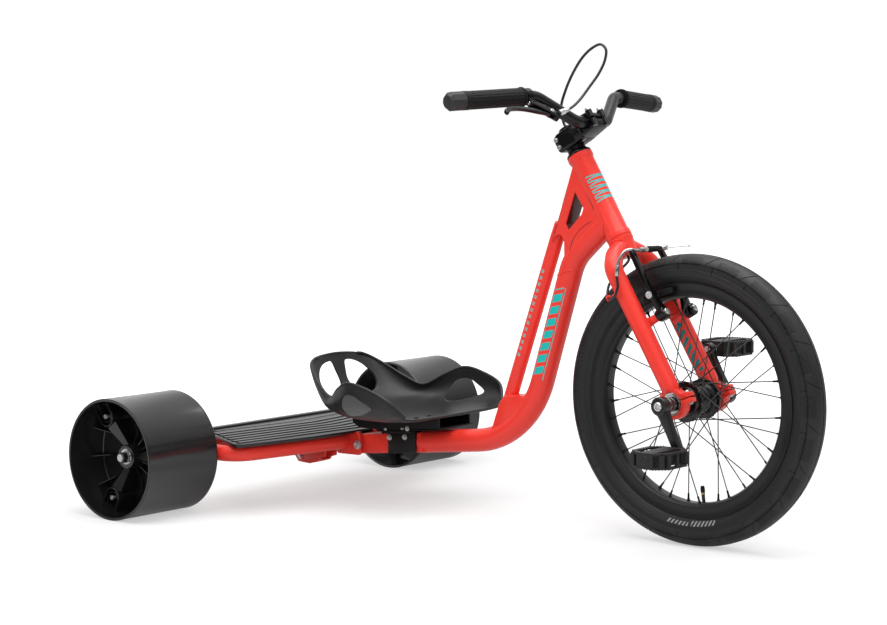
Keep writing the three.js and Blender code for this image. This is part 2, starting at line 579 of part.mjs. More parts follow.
function forkLeg(way) {
  const path = rounded([onFork(14, 2 * way, 0), onFork(33, 40 * way, 0), onFork(58, FORK_LEG_Y * way, 0),
    onFork(legDrop - 20, FORK_LEG_Y * way, 0)], [30, 34], 3);
  const leg = tube(path, FORK_LEG_RADIUS, 12);
  const axis = SIDEWAYS.clone().multiplyScalar(way);
  const eye = turned([[0, DROPOUT_INNER], [DROPOUT_RING_RADIUS, DROPOUT_INNER],
    [DROPOUT_RING_RADIUS, DROPOUT_OUTER], [0, DROPOUT_OUTER]], FRONT_AXLE, axis, 20);
  const earAhead = vec(Math.cos(EAR_TILT), 0, Math.sin(EAR_TILT));
  const earUp = vec(-Math.sin(EAR_TILT), 0, Math.cos(EAR_TILT));
  const earLow = way > 0 ? -DROPOUT_OUTER + 2 : DROPOUT_INNER + 2;
  const ear = plate([[18, -10], [40, -9], [40, 9], [18, 10]], FRONT_AXLE, earAhead, earUp,
    earLow, earLow + EAR_THICKNESS);
  const slit = plate([[10, -SLIT_HALF], [50, -SLIT_HALF], [50, SLIT_HALF], [10, SLIT_HALF]], FRONT_AXLE,
    earAhead, earUp, earLow - 10, earLow + EAR_THICKNESS + 10);
  const boreRadius = DROPOUT_BEARING_RADIUS + GAP;
  const bore = turned([[0, 40], [boreRadius, 40], [boreRadius, 90], [0, 90]], FRONT_AXLE, axis, 20);
  const boss = rod(onFork(BOSS_DOWN, (BOSS_Y + 3) * way, 0), onFork(BOSS_DOWN, BOSS_Y * way, 30), 10, 12, 7);
  const bossPin = rod(onFork(BOSS_DOWN, BOSS_Y * way, 26), onFork(BOSS_DOWN, BOSS_Y * way, 52), 4, 12);
  return { add: joined(leg, eye, ear, boss, bossPin), cut: joined(slit, bore) };
}

const steerer = rod(onFork(24, 0, 0), onHead(0, 0, STEERER_TOP), STEERER_RADIUS, 16);
const crown = turned([[0, GAP], [HEAD_COLLAR_RADIUS - 0.5, GAP], [HEAD_COLLAR_RADIUS - 0.5, 8], [20, 20],
  [20, 34], [0, 34]], HEAD_BOTTOM, UP_THE_HEAD.clone().negate(), 20);
const legs = SIDES.map(([, way]) => forkLeg(way));
let fork = joined(steerer, crown, ...legs.map(({ add }) => add));
legs.forEach(({ cut }) => {
  fork = fork.subtract(cut);
});
const steererBore = rod(onFork(60, 0, 0), onHead(0, 0, STEERER_TOP + 5), STEERER_BORE, 12);
piece('fork', fork.subtract(steererBore), RED_PAINT);

SIDES.forEach(([side, way]) => {
  piece(`dropout_bearing_${side}`, ring(SPINDLE_RADIUS + GAP, DROPOUT_BEARING_RADIUS, DROPOUT_OUTER - 14,
    DROPOUT_OUTER - 2, FRONT_AXLE, SIDEWAYS.clone().multiplyScalar(way), 20), STEEL);
});

// Headset cover and spacer under the stem
const COVER_TOP = 9;
const SPACER_TOP = 16;
const bearingInner = STEERER_RADIUS + GAP;
piece('headset_cover', turned([[bearingInner, 0.4], [23.5, 0.4], [23.5, 3], [18, COVER_TOP],
  [bearingInner, COVER_TOP]], HEAD_TOP, UP_THE_HEAD, 16), BLACK_ALLOY);
piece('headset_spacer', ring(bearingInner, 17.5, COVER_TOP + GAP, SPACER_TOP, HEAD_TOP, UP_THE_HEAD, 16),
  BLACK_ALLOY);

// Stem: a steerer clamp and a cradle for the bar, with a separate cap bolted over it
const STEM_LOW = SPACER_TOP + GAP;
const STEM_HIGH = 52;
const STEM_HALF = 21;
const BAR_AHEAD = 54;
const BAR_UP = 38;
const CRADLE_HALF = 27;
const barBore = rod(onHead(BAR_AHEAD, -60, BAR_UP), onHead(BAR_AHEAD, 60, BAR_UP), BAR_RADIUS + GAP, 16);
const stemAcross = (outline, half) => plate(outline, HEAD_TOP, AHEAD, UP_THE_HEAD, -half, half);
const stemBody = joined(
  stemAcross([[-24, STEM_LOW + 4], [-14, STEM_LOW], [34, STEM_LOW], [34, STEM_HIGH], [-14, STEM_HIGH],
    [-24, STEM_HIGH - 6]], STEM_HALF),
  stemAcross([[20, STEM_LOW], [66, STEM_LOW + 3], [76, STEM_LOW + 10], [76, BAR_UP - 2],
    [32, BAR_UP - 2], [20, BAR_UP - 2]], CRADLE_HALF));
const WAIST_CORE = 14;
const stemWaist = stemAcross(
  [[22, STEM_LOW + 6], [60, STEM_LOW + 8], [60, STEM_LOW + 12], [22, STEM_LOW + 12]], 60)
  .subtract(block(vec(600, -WAIST_CORE, 600), vec(900, WAIST_CORE, 900)));
const pinchSlit = stemAcross(
  [[-30, STEM_LOW - 5], [0, STEM_LOW - 5], [0, STEM_HIGH + 5], [-30, STEM_HIGH + 5]], 1);
piece('stem', stemBody.subtract(barBore).subtract(stemWaist).subtract(pinchSlit)
  .subtract(stemAcross([[35, BAR_UP - 2], [80, BAR_UP - 2], [80, 80], [35, 80]], 40))
  .subtract(rod(onHead(0, 0, 0), onHead(0, 0, 70), STEERER_RADIUS + GAP, 20)), BLACK_ALLOY);
piece('stem_cap', stemAcross([[35.5, BAR_UP + 1], [76, BAR_UP + 1], [76, BAR_UP + 9], [64, BAR_UP + 15],
  [44, BAR_UP + 15], [35.5, BAR_UP + 10]], CRADLE_HALF).subtract(barBore), BLACK_ALLOY);
piece('steerer_cap', turned([[4, STEERER_TOP + 0.5], [16, STEERER_TOP + 0.5], [16, STEERER_TOP + 2.5],
  [12, STEERER_TOP + 5], [4, STEERER_TOP + 5]], HEAD_TOP, UP_THE_HEAD, 16), BLACK_ALLOY);

// Handlebar: a low bar with one bend up and one back on each side
const BAR_BEND = vec(743.5, 121, 798.5);
const BAR_END = vec(705, 311, 788);
const GRIP_LENGTH = 136;
const barRun = BAR_END.clone().sub(BAR_BEND).normalize();
const GRIP_START = BAR_BEND.clone().addScaledVector(barRun, 31);
const barCentre = onHead(BAR_AHEAD, 0, BAR_UP);
const halfBar = [barCentre.clone().setY(45), BAR_BEND, BAR_END];
const mirrored = (point) => vec(point.x, -point.y, point.z);
const barPath = rounded([...halfBar.map(mirrored).reverse(), ...halfBar], [30, 28, 28, 30], 4);
piece('handlebar', tube(barPath, BAR_RADIUS, 12), BLACK_PAINT);

SIDES.forEach(([side, way]) => {
  const place = (distance) => {
    const point = GRIP_START.clone().addScaledVector(barRun, distance);
    return way > 0 ? point : mirrored(point);
  };
  const axis = place(10).sub(place(0)).normalize();
  piece(`grip_${side}`, turned([[BAR_RADIUS + GAP, 0], [GRIP_RADIUS + 1.5, 0], [GRIP_RADIUS + 1.5, 3],
    [GRIP_RADIUS, 4], [GRIP_RADIUS, GRIP_LENGTH], [BAR_RADIUS + GAP, GRIP_LENGTH]], place(0), axis, 20),
  RUBBER);
  const plugEnd = GRIP_START.distanceTo(BAR_END) + 5;
  const plugBore = BAR_RADIUS + 3 * GAP;
  const plugRadius = GRIP_RADIUS + 0.5;
  piece(`bar_plug_${side}`, turned([[0, plugEnd - 4.5], [plugBore, plugEnd - 4.5],
    [plugBore, GRIP_LENGTH + GAP], [plugRadius, GRIP_LENGTH + GAP], [plugRadius, plugEnd - 5],
    [GRIP_RADIUS - 5, plugEnd + 2], [0, plugEnd + 2]], place(0), axis, 10), RUBBER);
});

// Brake lever on the right-hand side: clamp and body, pivot pin, blade and barrel adjuster
const LEVER_PIVOT = vec(768, -108, 768);
const toLever = vec(1, 0, -1).normalize();
const LEVER_AXIS = vec(-1, 0, -1).normalize();
const CLAMP_AT = mirrored(BAR_BEND.clone().addScaledVector(barRun, 21));
const clampAxis = mirrored(barRun);
const fromClamp = (outline, half) => plate(outline, CLAMP_AT, SIDEWAYS, toLever, -half, half);
const PERCH_HALF = 6.5;
const perchBody = fromClamp([[-7, 10], [-6, 26], [10, 40], [26, 50], [38, 55], [46, 54], [46, 44],
  [42, 34], [30, 30], [16, 22], [8, 10]], PERCH_HALF);
const onClamp = (along) => CLAMP_AT.clone().addScaledVector(clampAxis, along);
const perchClamp = rod(onClamp(-6), onClamp(6), 15.5, 14);
const perchBore = rod(onClamp(-20), onClamp(20), BAR_RADIUS + 2 * GAP, 14);
const leverSlot = fromClamp([[-60, 22], [42, 22], [42, 70], [-60, 70]], 3.6);
const pinLine = (reach) => LEVER_PIVOT.clone().addScaledVector(LEVER_AXIS, reach);
const pinHole = rod(pinLine(-20), pinLine(20), 2.8, 10);
piece('lever_perch', joined(perchBody, perchClamp).subtract(perchBore).subtract(leverSlot)
  .subtract(pinHole), BLACK_ALLOY);
piece('lever_pin', rod(pinLine(-6.3), pinLine(6.3), 2.4, 10), STEEL);
const BLADE_HALF = 3.1;
const blade = fromClamp([[40, 36], [12, 33.5], [-18, 29], [-53, 26], [-80, 28], [-95, 37], [-95, 42],
  [-90, 45], [-86, 42], [-78, 36.5], [-53, 34.5], [-18, 38.5], [12, 44], [30, 47], [38, 46], [41, 41]],
BLADE_HALF);
piece('brake_lever', blade.subtract(pinHole), BLACK_ALLOY);
const ADJUSTER_START = vec(780, -95.5, 768.5);
const ADJUSTER_END = vec(786, -77, 775);
piece('cable_adjuster', rod(ADJUSTER_START, ADJUSTER_END, 5.5, 12, 4), STEEL);

// Brake cable: from the adjuster in a loop over the bar, down the hollow steerer, round the back of
// the right fork leg and up to the noodle's ferrule
const adjusterAim = ADJUSTER_END.clone().sub(ADJUSTER_START).normalize();
const cableStops = [
  ADJUSTER_END.clone().addScaledVector(adjusterAim, 3 * GAP), vec(787, -62, 782), vec(788, -44, 794),
  vec(794, -26, 815), vec(804, -10, 840), vec(810, 0, 864), vec(809, 4, 883), vec(798, 4, 892),
  vec(780, 4, 887), vec(757, 4, 870), vec(736, 3, 842), vec(721, 1, 812), vec(711, 0, 780),
  onHead(0, 0, 72), onHead(0, 0, 50), onHead(0, 0, 0), onHead(0, 0, -60), onHead(0, 0, -120),
  onFork(0, 0, 0), onFork(34, 0, 0), onFork(44, -3, -1), vec(862, -16, 492), vec(857, -32, 479),
  vec(854, -50, 462), vec(858, -68, 448), vec(868, -82, 442), vec(881, -87, 447), vec(891, -87, 461),
  vec(895, -85, 474), vec(896, -84, 480)];
const cablePath = new THREE.CatmullRomCurve3(cableStops, false, 'centripetal').getSpacedPoints(50);
piece('brake_cable', swept(cablePath, ringPoints(CABLE_RADIUS, 8)), CABLE_BLACK);

// Front brake: two arms on the fork's bosses, pads, the bent guide tube, its boot and the inner wire
const ARM_LOW = 34;
const ARM_HIGH = 45.8;
const ARM_TOP_DOWN = 50;
const WIRE_AHEAD = 50.5;
const PAD_AHEAD = 38;
const PAD_HALF_LENGTH = 32;
const PAD_HALF_HEIGHT = 5;
const PAD_FACE = 20.6;
const PAD_BACK = 28;
const armOutline = [[-12, 8], [-8, 13], [8, 13], [12, 6], [14, 40], [15, 70], [12, 118], [11, 129],
  [1, 129], [2, 112], [3, 70], [2, 40], [-6, 16]];
SIDES.forEach(([side, way]) => {
  const outline = armOutline.map(([out, up]) => [way * (BOSS_Y + out - 6), up]);
  const arm = joined(
    plate(outline, onFork(BOSS_DOWN, 0, 0), SIDEWAYS, UP_THE_HEAD, ARM_LOW, ARM_HIGH),
    rod(onFork(BOSS_DOWN, BOSS_Y * way, 31), onFork(BOSS_DOWN, BOSS_Y * way, 50), 11.5, 16),
    rod(onFork(BOSS_DOWN - 40, way * 36, PAD_AHEAD), onFork(BOSS_DOWN - 40, way * 58, PAD_AHEAD), 6, 10));
  const bossHole = rod(onFork(BOSS_DOWN, BOSS_Y * way, 20), onFork(BOSS_DOWN, BOSS_Y * way, 60), 4.4, 12);
  piece(`brake_arm_${side}`, arm.subtract(bossHole), BLACK_ALLOY);
  const padCentre = onFork(BOSS_DOWN - 40, way * 24.5, PAD_AHEAD);
  const toRim = padCentre.clone().setY(0).sub(FRONT_AXLE).normalize();
  const alongRim = vec(toRim.z, 0, -toRim.x);
  const padOutline = [[-1, -1], [1, -1], [1, 1], [-1, 1]]
    .map(([along, up]) => [along * PAD_HALF_LENGTH, up * PAD_HALF_HEIGHT]);
  const pad = plate(padOutline, padCentre.clone().setY(0), alongRim, toRim,
    way > 0 ? -PAD_BACK : PAD_FACE, way > 0 ? -PAD_FACE : PAD_BACK);
  const padStud = rod(padCentre.clone().setY(way * 27), padCentre.clone().setY(way * 35.5), 5, 12);
  piece(`brake_pad_${side}`, joined(pad, padStud), RUBBER);
});

const noodleTop = onFork(ARM_TOP_DOWN, 0, WIRE_AHEAD);
const FERRULE_START = vec(896.2, -83.9, 480.6);
const FERRULE_END = vec(897, -83, 500);
const noodlePath = new THREE.CatmullRomCurve3([FERRULE_START, FERRULE_END, vec(900, -79, 514),
  vec(905, -70, 525), noodleTop.clone().setY(-61).add(vec(0, 0, 2)), noodleTop.clone().setY(-50),
  noodleTop.clone().setY(-20)], false, 'centripetal').getSpacedPoints(12);
const noodleBore = rod(noodleTop.clone().setY(-38), noodleTop.clone().setY(-10), 2.2, 10);
piece('brake_noodle', joined(swept(noodlePath, ringPoints(2.6, 8)),
  rod(FERRULE_START, FERRULE_END, 3.6, 8),
  rod(noodleTop.clone().setY(-36), noodleTop.clone().setY(-12), 4.4, 10)).subtract(noodleBore), STEEL);
piece('noodle_boot', turned([[3.5, -11.5], [5.4, -11.5], [6, 5], [5.4, 22], [4.6, 29], [3.5, 29]],
  noodleTop, SIDEWAYS, 16), RUBBER);
piece('brake_wire', joined(
  rod(noodleTop.clone().setY(-9), noodleTop.clone().setY(125), 0.9, 8),
  rod(noodleTop.clone().setY(42), noodleTop.clone().setY(49), 4.2, 10)), STEEL);

// Front tyre, inner tube and rim
const tyreHalf = [[TYRE_RADIUS, 0], [256.5, 14], [247, 24.5], [233, TYRE_HALF_WIDTH], [218, 24.5],
  [209.5, 15.6], [BEAD_RADIUS, 15.3]];
const tyreInner = [[BEAD_RADIUS, 12], [217, 20], [233, 23], [254, 0]];
const flip = ([radius, y]) => [radius, -y];
const tyreProfile = [...tyreHalf.map(flip).reverse(), ...tyreHalf.slice(1), ...tyreInner,
  ...tyreInner.slice(0, -1).map(flip).reverse()];
piece('tyre', turned(tyreProfile, FRONT_AXLE, SIDEWAYS, 32), RUBBER);

const rimFlank = RIM_HALF_WIDTH + 0.4;
const rimHalf = [[RIM_INNER_RADIUS, 11], [187, rimFlank], [208, rimFlank], [208.5, 16], [202, 15.6],
  [198, 10]];
const rimProfile = [...rimHalf.map(flip).reverse(), ...rimHalf];
const VALVE_ANGLE = THREE.MathUtils.degToRad(-83.5);
const valvePoint = (radius) => vec(FRONT_AXLE.x + radius * Math.cos(VALVE_ANGLE), 0,
  FRONT_AXLE.z + radius * Math.sin(VALVE_ANGLE));
piece('rim', turned(rimProfile, FRONT_AXLE, SIDEWAYS, 32)
  .subtract(rod(valvePoint(170), valvePoint(215), 4.5, 10)), BLACK_ALLOY);
const TUBE_CENTRE_RADIUS = 229;
const tubeRing = ringPoints(15.5, 6).map(([out, y]) => [TUBE_CENTRE_RADIUS + out * 1.15, y]);
piece('inner_tube', joined(turned(tubeRing, FRONT_AXLE, SIDEWAYS, 24),
  rod(valvePoint(160), valvePoint(215), 3.4, 10), rod(valvePoint(152), valvePoint(164), 4.2, 10)), RUBBER);

// Spokes: each side is laced three-cross, and its spokes press on each other where they cross
const FLANGE_RADIUS = 36;
const FLANGE_Y = 28;
const SPOKE_RIM_Y = 6;
const SPOKE_RADIUS = 1.2;
const LACING_ANGLE = 60;
const polar = (radius, degrees, y) => {
  const angle = THREE.MathUtils.degToRad(degrees);
  return vec(FRONT_AXLE.x + radius * Math.cos(angle), y, FRONT_AXLE.z + radius * Math.sin(angle));
};
SIDES.forEach(([side, way]) => {
  const pitch = 360 / SPOKES_PER_SIDE;
  const offset = way > 0 ? 5 : 5 + pitch / 2;
  const spokes = [];
  for (let i = 0; i < SPOKES_PER_SIDE; i += 1) {
    const hubAngle = pitch * i + offset;
    const rimAngle = hubAngle + (i % 2 === 0 ? LACING_ANGLE : -LACING_ANGLE);
    spokes.push(rod(polar(FLANGE_RADIUS + 1.4, hubAngle, way * FLANGE_Y),
      polar(RIM_INNER_RADIUS - 1.6, rimAngle, way * SPOKE_RIM_Y), SPOKE_RADIUS, 3));
  }
  piece(`spokes_${side}`, joined(...spokes), SPOKE_BLACK);
});

const HUB_BEARING_RADIUS = 16;
const hubSeat = HUB_BEARING_RADIUS + GAP;
const hubHalf = [[25, 25], [FLANGE_RADIUS, 26], [FLANGE_RADIUS, 30], [26, 30], [24, 34], [hubSeat, 34],
  [hubSeat, 22], [11, 22]];
piece('front_hub', turned([...hubHalf.map(flip).reverse(), ...hubHalf], FRONT_AXLE, SIDEWAYS, 20),
  BLACK_ALLOY);
SIDES.forEach(([side, way]) => {
  piece(`hub_bearing_${side}`, ring(SPINDLE_RADIUS + GAP, HUB_BEARING_RADIUS, 22 + GAP, 33, FRONT_AXLE,
    SIDEWAYS.clone().multiplyScalar(way), 16), STEEL);
});

// Cranks: a spindle through hub and dropouts, two arms set opposite, and the pedals on their axles
const SPINDLE_HALF = 112;
const CRANK_INNER = 98;
const CRANK_OUTER = 112;
const CRANK_ANGLE = Math.atan2(-76, 37);
const COLLAR_RADIUS = 13;
const onSpindle = (y) => FRONT_AXLE.clone().setY(y);
const collars = SIDES.map(([, way]) => ring(SPINDLE_RADIUS - 1, COLLAR_RADIUS, DROPOUT_OUTER + GAP,
  CRANK_INNER - GAP, FRONT_AXLE, SIDEWAYS.clone().multiplyScalar(way), 16));
piece('crank_spindle', joined(
  rod(onSpindle(-SPINDLE_HALF), onSpindle(SPINDLE_HALF), SPINDLE_RADIUS, 16), ...collars), STEEL);

const CRANK_EYE_RADIUS = 17;
const PEDAL_EYE_RADIUS = 12;
const PEDAL_AXLE_END = 205;
const PEDAL_HALF_HEIGHT = 14;
// Plans of half a pedal and of one window: ahead of the pedal's axle and out from the trike's middle
const halfPedal = [[20, 124], [37.5, 138], [37.5, 194], [17, 212]];
const pedalPlan = [...halfPedal, ...halfPedal.map(([x, out]) => [-x, out]).reverse()];
const windowPlan = [[14, 132], [19, 132], [30, 141], [30, 190], [14, 203]];
SIDES.forEach(([side, way]) => {
  const axis = SIDEWAYS.clone().multiplyScalar(way);
  const aim = way < 0 ? CRANK_ANGLE : CRANK_ANGLE + Math.PI;
  const toPedal = vec(Math.cos(aim), 0, Math.sin(aim));
  const aside = SIDEWAYS.clone().cross(toPedal);
  const pedalAxle = FRONT_AXLE.clone().addScaledVector(toPedal, CRANK_LENGTH);
  const armLow = way > 0 ? CRANK_INNER : -CRANK_OUTER;
  const arm = joined(
    plate([[0, -12], [30, -9.5], [CRANK_LENGTH, -9], [CRANK_LENGTH, 9], [30, 9.5], [0, 12]], FRONT_AXLE,
      toPedal, aside, armLow, armLow + CRANK_OUTER - CRANK_INNER),
    turned([[0, CRANK_INNER], [CRANK_EYE_RADIUS, CRANK_INNER], [CRANK_EYE_RADIUS, CRANK_OUTER],
      [CRANK_EYE_RADIUS - 2, CRANK_OUTER + 2], [0, CRANK_OUTER + 2]], FRONT_AXLE, axis, 16),
    turned([[0, CRANK_INNER], [PEDAL_EYE_RADIUS, CRANK_INNER], [PEDAL_EYE_RADIUS, CRANK_OUTER],
      [0, CRANK_OUTER]], pedalAxle, axis, 16));
  const onPedal = (out) => pedalAxle.clone().setY(way * out);
  const spindleHole = rod(onSpindle(way * 80), onSpindle(way * (SPINDLE_HALF + GAP)),
    SPINDLE_RADIUS + GAP, 16);
  piece(`crank_${side}`, arm.subtract(spindleHole).subtract(rod(onPedal(90), onPedal(130), 7.3, 14)),
    BLACK_ALLOY);
  piece(`pedal_axle_${side}`, joined(rod(onPedal(CRANK_INNER + 1), onPedal(118), 7, 14),
    rod(onPedal(116), onPedal(PEDAL_AXLE_END), 5, 12)), STEEL);
  const inPlan = (plan, ahead, half) => plate(plan.map(([x, out]) => [ahead * x, way * out]), pedalAxle,
    vec(1, 0, 0), SIDEWAYS, -half, half);
  const pedal = inPlan(pedalPlan, 1, PEDAL_HALF_HEIGHT);
  const windows = [1, -1].map((ahead) => inPlan(windowPlan, ahead, PEDAL_HALF_HEIGHT + 5));
  const axleHole = rod(onPedal(110), onPedal(207), 5.4, 12);
  piece(`pedal_${side}`, pedal.subtract(joined(...windows)).subtract(axleHole), BLACK_PLASTIC);
});

export default trike;
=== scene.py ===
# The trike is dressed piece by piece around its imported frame. Places are in metres; the sections,
# outlines and radii handed to the shape makers are in millimetres.
import math
import bmesh
import bpy
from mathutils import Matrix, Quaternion, Vector
from mathutils.bvhtree import BVHTree
from mathutils.geometry import tessellate_polygon


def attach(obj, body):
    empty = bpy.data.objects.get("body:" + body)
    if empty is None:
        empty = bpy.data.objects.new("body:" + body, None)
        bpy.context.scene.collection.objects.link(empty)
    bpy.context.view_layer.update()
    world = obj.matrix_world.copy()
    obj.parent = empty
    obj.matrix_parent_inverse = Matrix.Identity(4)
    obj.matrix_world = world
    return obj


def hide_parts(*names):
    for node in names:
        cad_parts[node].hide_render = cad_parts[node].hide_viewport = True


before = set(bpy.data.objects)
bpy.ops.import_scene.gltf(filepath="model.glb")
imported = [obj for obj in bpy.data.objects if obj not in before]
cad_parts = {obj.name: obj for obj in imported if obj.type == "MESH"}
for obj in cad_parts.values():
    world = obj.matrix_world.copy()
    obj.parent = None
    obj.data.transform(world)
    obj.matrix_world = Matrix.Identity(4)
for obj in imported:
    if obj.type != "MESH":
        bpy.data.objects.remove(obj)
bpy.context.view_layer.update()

# Studio: a pale floor under soft light, and a long lens low on the trike's front right.
# The camera stands where the photograph was taken, worked out from the front wheel and the drums.
ORIGIN_AHEAD_OF_AXLE = 574


def at(x, y, z):
    """A place in millimetres, measured from under the rear axle's middle."""
    return Vector((x - ORIGIN_AHEAD_OF_AXLE, y, z)) / 1000


CAMERA_PLACE = at(3031.2, -3090.6, 732.7)
CAMERA_AIM = at(424.97, 0, 386.58)
CAMERA_ROLL = math.radians(-0.35)
CAMERA_LENS = 84.74
view_data = bpy.data.cameras.new("view")
view_data.lens = CAMERA_LENS
view_data.sensor_width = 36
view_data.clip_end = 100
camera = bpy.data.objects.new("view", view_data)
aim = (CAMERA_AIM - CAMERA_PLACE).to_track_quat("-Z", "Y")
camera.rotation_mode = "QUATERNION"
camera.rotation_quaternion = aim @ Quaternion((0, 0, 1), CAMERA_ROLL)
camera.location = CAMERA_PLACE
bpy.context.collection.objects.link(camera)
bpy.context.scene.camera = camera
bpy.context.scene.view_settings.view_transform = "Standard"


def grey(level, blue=None):
    """A colour whose red and green are the same and whose blue may differ a little."""
    return level, level, level if blue is None else blue, 1


class Signal:
    """A node's output, so that shader maths reads as plain sums and products."""

    def __init__(self, graph, socket):
        self.graph = graph
        self.socket = socket

    def __add__(self, other):
        return self.graph.maths("ADD", self, other)

    def __sub__(self, other):
        return self.graph.maths("SUBTRACT", self, other)

    def __rsub__(self, other):
        return self.graph.maths("SUBTRACT", other, self)

    def __mul__(self, other):
        return self.graph.maths("MULTIPLY", self, other)

    def __truediv__(self, other):
        return self.graph.maths("DIVIDE", self, other)

    __radd__ = __add__
    __rmul__ = __mul__


class Graph:
    """A node tree that is filled by one method."""

    def __init__(self, tree, prefix):
        self.tree = tree
        self.prefix = prefix

    def node(self, kind, settings=None, values=(), output=0):
        made = self.tree.nodes.new(self.prefix + kind)
        for name, value in (settings or {}).items():
            setattr(made, name, value)
        entries = values.items() if isinstance(values, dict) else enumerate(values)
        for key, value in entries:
            if isinstance(value, Signal):
                self.tree.links.new(value.socket, made.inputs[key])
            else:
                made.inputs[key].default_value = value
        return Signal(self, made.outputs[output])

    def maths(self, operation, *values):
        prefix = self.prefix
        self.prefix = "ShaderNode"
        result = self.node("Math", {"operation": operation}, values)
        self.prefix = prefix
        return result


class Finish(Graph):
    """A material with one Principled shader. Its constants go on the shader's own sockets."""

    def __init__(self, name, constants):
        self.material = bpy.data.materials.new(name)
        self.material.use_nodes = True
        super().__init__(self.material.node_tree, "ShaderNode")
        self.shader = self.tree.nodes["Principled BSDF"]
        for socket, value in constants.items():
            self.shader.inputs[socket].default_value = value

    def drive(self, socket, signal):
        self.tree.links.new(signal.socket, self.shader.inputs[socket])

    def place(self, stretch=(1, 1, 1)):
        here = self.node("TexCoord", output=3)
        return self.node("Mapping", {}, {0: here, 3: stretch})

    def noise(self, scale, detail=2, stretch=(1, 1, 1)):
        return self.node("TexNoise", {}, {"Vector": self.place(stretch), "Scale": scale,
            "Detail": detail})

    def two_colours(self, factor, first, second):
        return self.node("Mix", {"data_type": "RGBA"}, {0: factor, 6: first, 7: second}, output=2)

    def ramp(self, signal, low, high):
        """From 0 at low to 1 at high, and flat outside them."""
        return self.node("MapRange", {}, {0: signal, 1: low, 2: high})

    def relief(self, height, depth, strength=1):
        bump = self.node("Bump", {}, {"Strength": strength, "Distance": depth, "Height": height})
        self.drive("Normal", bump)


FLOOR_SIZE = 14
floor_mesh = bpy.data.meshes.new("floor")
corners = [(x * FLOOR_SIZE, y * FLOOR_SIZE, 0) for x, y in ((-1, -1), (1, -1), (1, 1), (-1, 1))]
floor_mesh.from_pydata(corners, [], [(0, 1, 2, 3)])
floor = bpy.data.objects.new("floor", floor_mesh)
bpy.context.collection.objects.link(floor)
floor_finish = Finish("studio_floor", {"Roughness": 0.9, "Specular IOR Level": 0.1})
floor_tint = floor_finish.two_colours(floor_finish.noise(0.6), grey(0.52), grey(0.55))
floor_finish.drive("Base Color", floor_tint)
seen_directly = floor_finish.node("LightPath", output=0)
FLOOR_LIFT = 0.50
FLOOR_GLOW = 0.14
FADE_START = 1.0
FADE_END = 2.1
floor_finish.shader.inputs["Emission Strength"].default_value = 1
from_middle = floor_finish.node("VectorMath", {"operation": "LENGTH"}, [floor_finish.place()], output=1)
fade = floor_finish.ramp(from_middle, FADE_START, FADE_END)
lift_near = floor_finish.two_colours(fade, grey(FLOOR_LIFT), grey(1))
lift_colour = floor_finish.two_colours(seen_directly, grey(FLOOR_GLOW), lift_near)
floor_finish.drive("Emission Color", lift_colour)
floor_mesh.materials.append(floor_finish.material)

WORLD_LEVEL = 0.55
GLOSS_CAMERA_SIDE = 0.10
GLOSS_BEHIND = 0.85
GLOSS_OVERHEAD = 1.05
AWAY_FROM_CAMERA = (-0.58, 0.81, 0)
world = bpy.data.worlds.new("studio")
world.use_nodes = True
bpy.context.scene.world = world
sky = Graph(world.node_tree, "ShaderNode")
background = world.node_tree.nodes["Background"]
camera_ray = sky.node("LightPath", output=0)
glossy_ray = sky.node("LightPath", output=3)
clear_ray = sky.node("LightPath", output=6)
shown = sky.maths("MAXIMUM", camera_ray, clear_ray)
sky_way = sky.node("SeparateXYZ", {}, [sky.node("TexCoord")], output=2)
upward = sky.node("MapRange", {}, {0: sky_way, 1: 0.15, 2: 0.9, 3: GLOSS_CAMERA_SIDE, 4: GLOSS_OVERHEAD})
sky_away = sky.node("VectorMath", {"operation": "DOT_PRODUCT"},
    {0: sky.node("TexCoord"), 1: AWAY_FROM_CAMERA}, output=1)
behind = sky.node("MapRange", {}, {0: sky_away, 1: 0.1, 2: 0.85, 3: GLOSS_CAMERA_SIDE, 4: GLOSS_BEHIND})
reflected = sky.maths("MAXIMUM", upward, behind)
unseen = glossy_ray * reflected + (1 - glossy_ray) * WORLD_LEVEL
sky_level = shown + (1 - shown) * unseen
sky.tree.links.new(sky_level.socket, background.inputs["Strength"])
background.inputs["Color"].default_value = (1, 1, 1, 1)


def lamp(name, place, target, size, power, in_gloss=False):
    """A square lamp. Glossy surfaces mirror it only where in_gloss says so."""
    lamp_data = bpy.data.lights.new(name, "AREA")
    lamp_data.size = size
    lamp_data.energy = power
    made = bpy.data.objects.new(name, lamp_data)
    made.location = place
    made.visible_glossy = in_gloss
    made.rotation_euler = (Vector(target) - Vector(place)).to_track_quat("-Z", "Y").to_euler()
    bpy.context.collection.objects.link(made)


lamp("top", (0.3, -0.2, 2.6), (0, 0, 0.2), 2.6, 52, True)
lamp("front", (3.2, -2.0, 1.9), (0, 0, 0.4), 1.6, 32)
lamp("left", (-2.2, -2.6, 2.0), (-0.3, 0, 0.2), 1.8, 26)
lamp("left_streak", (-1.6, -3.2, 1.7), (0.2, 0, 0.4), 0.4, 2.4, True)
lamp("right_streak", (3.2, -2.4, 1.8), (0.3, 0, 0.4), 0.4, 1.6, True)

# Main frame: bent steel tube, a thin rear tube, flat gussets and a reamed head tube, welded into
# one piece and sprayed gloss red. Its beads are laid in short overlapping ripples.
FORWARD = Vector((1, 0, 0))
SIDEWAYS = Vector((0, 1, 0))
UPWARD = Vector((0, 0, 1))


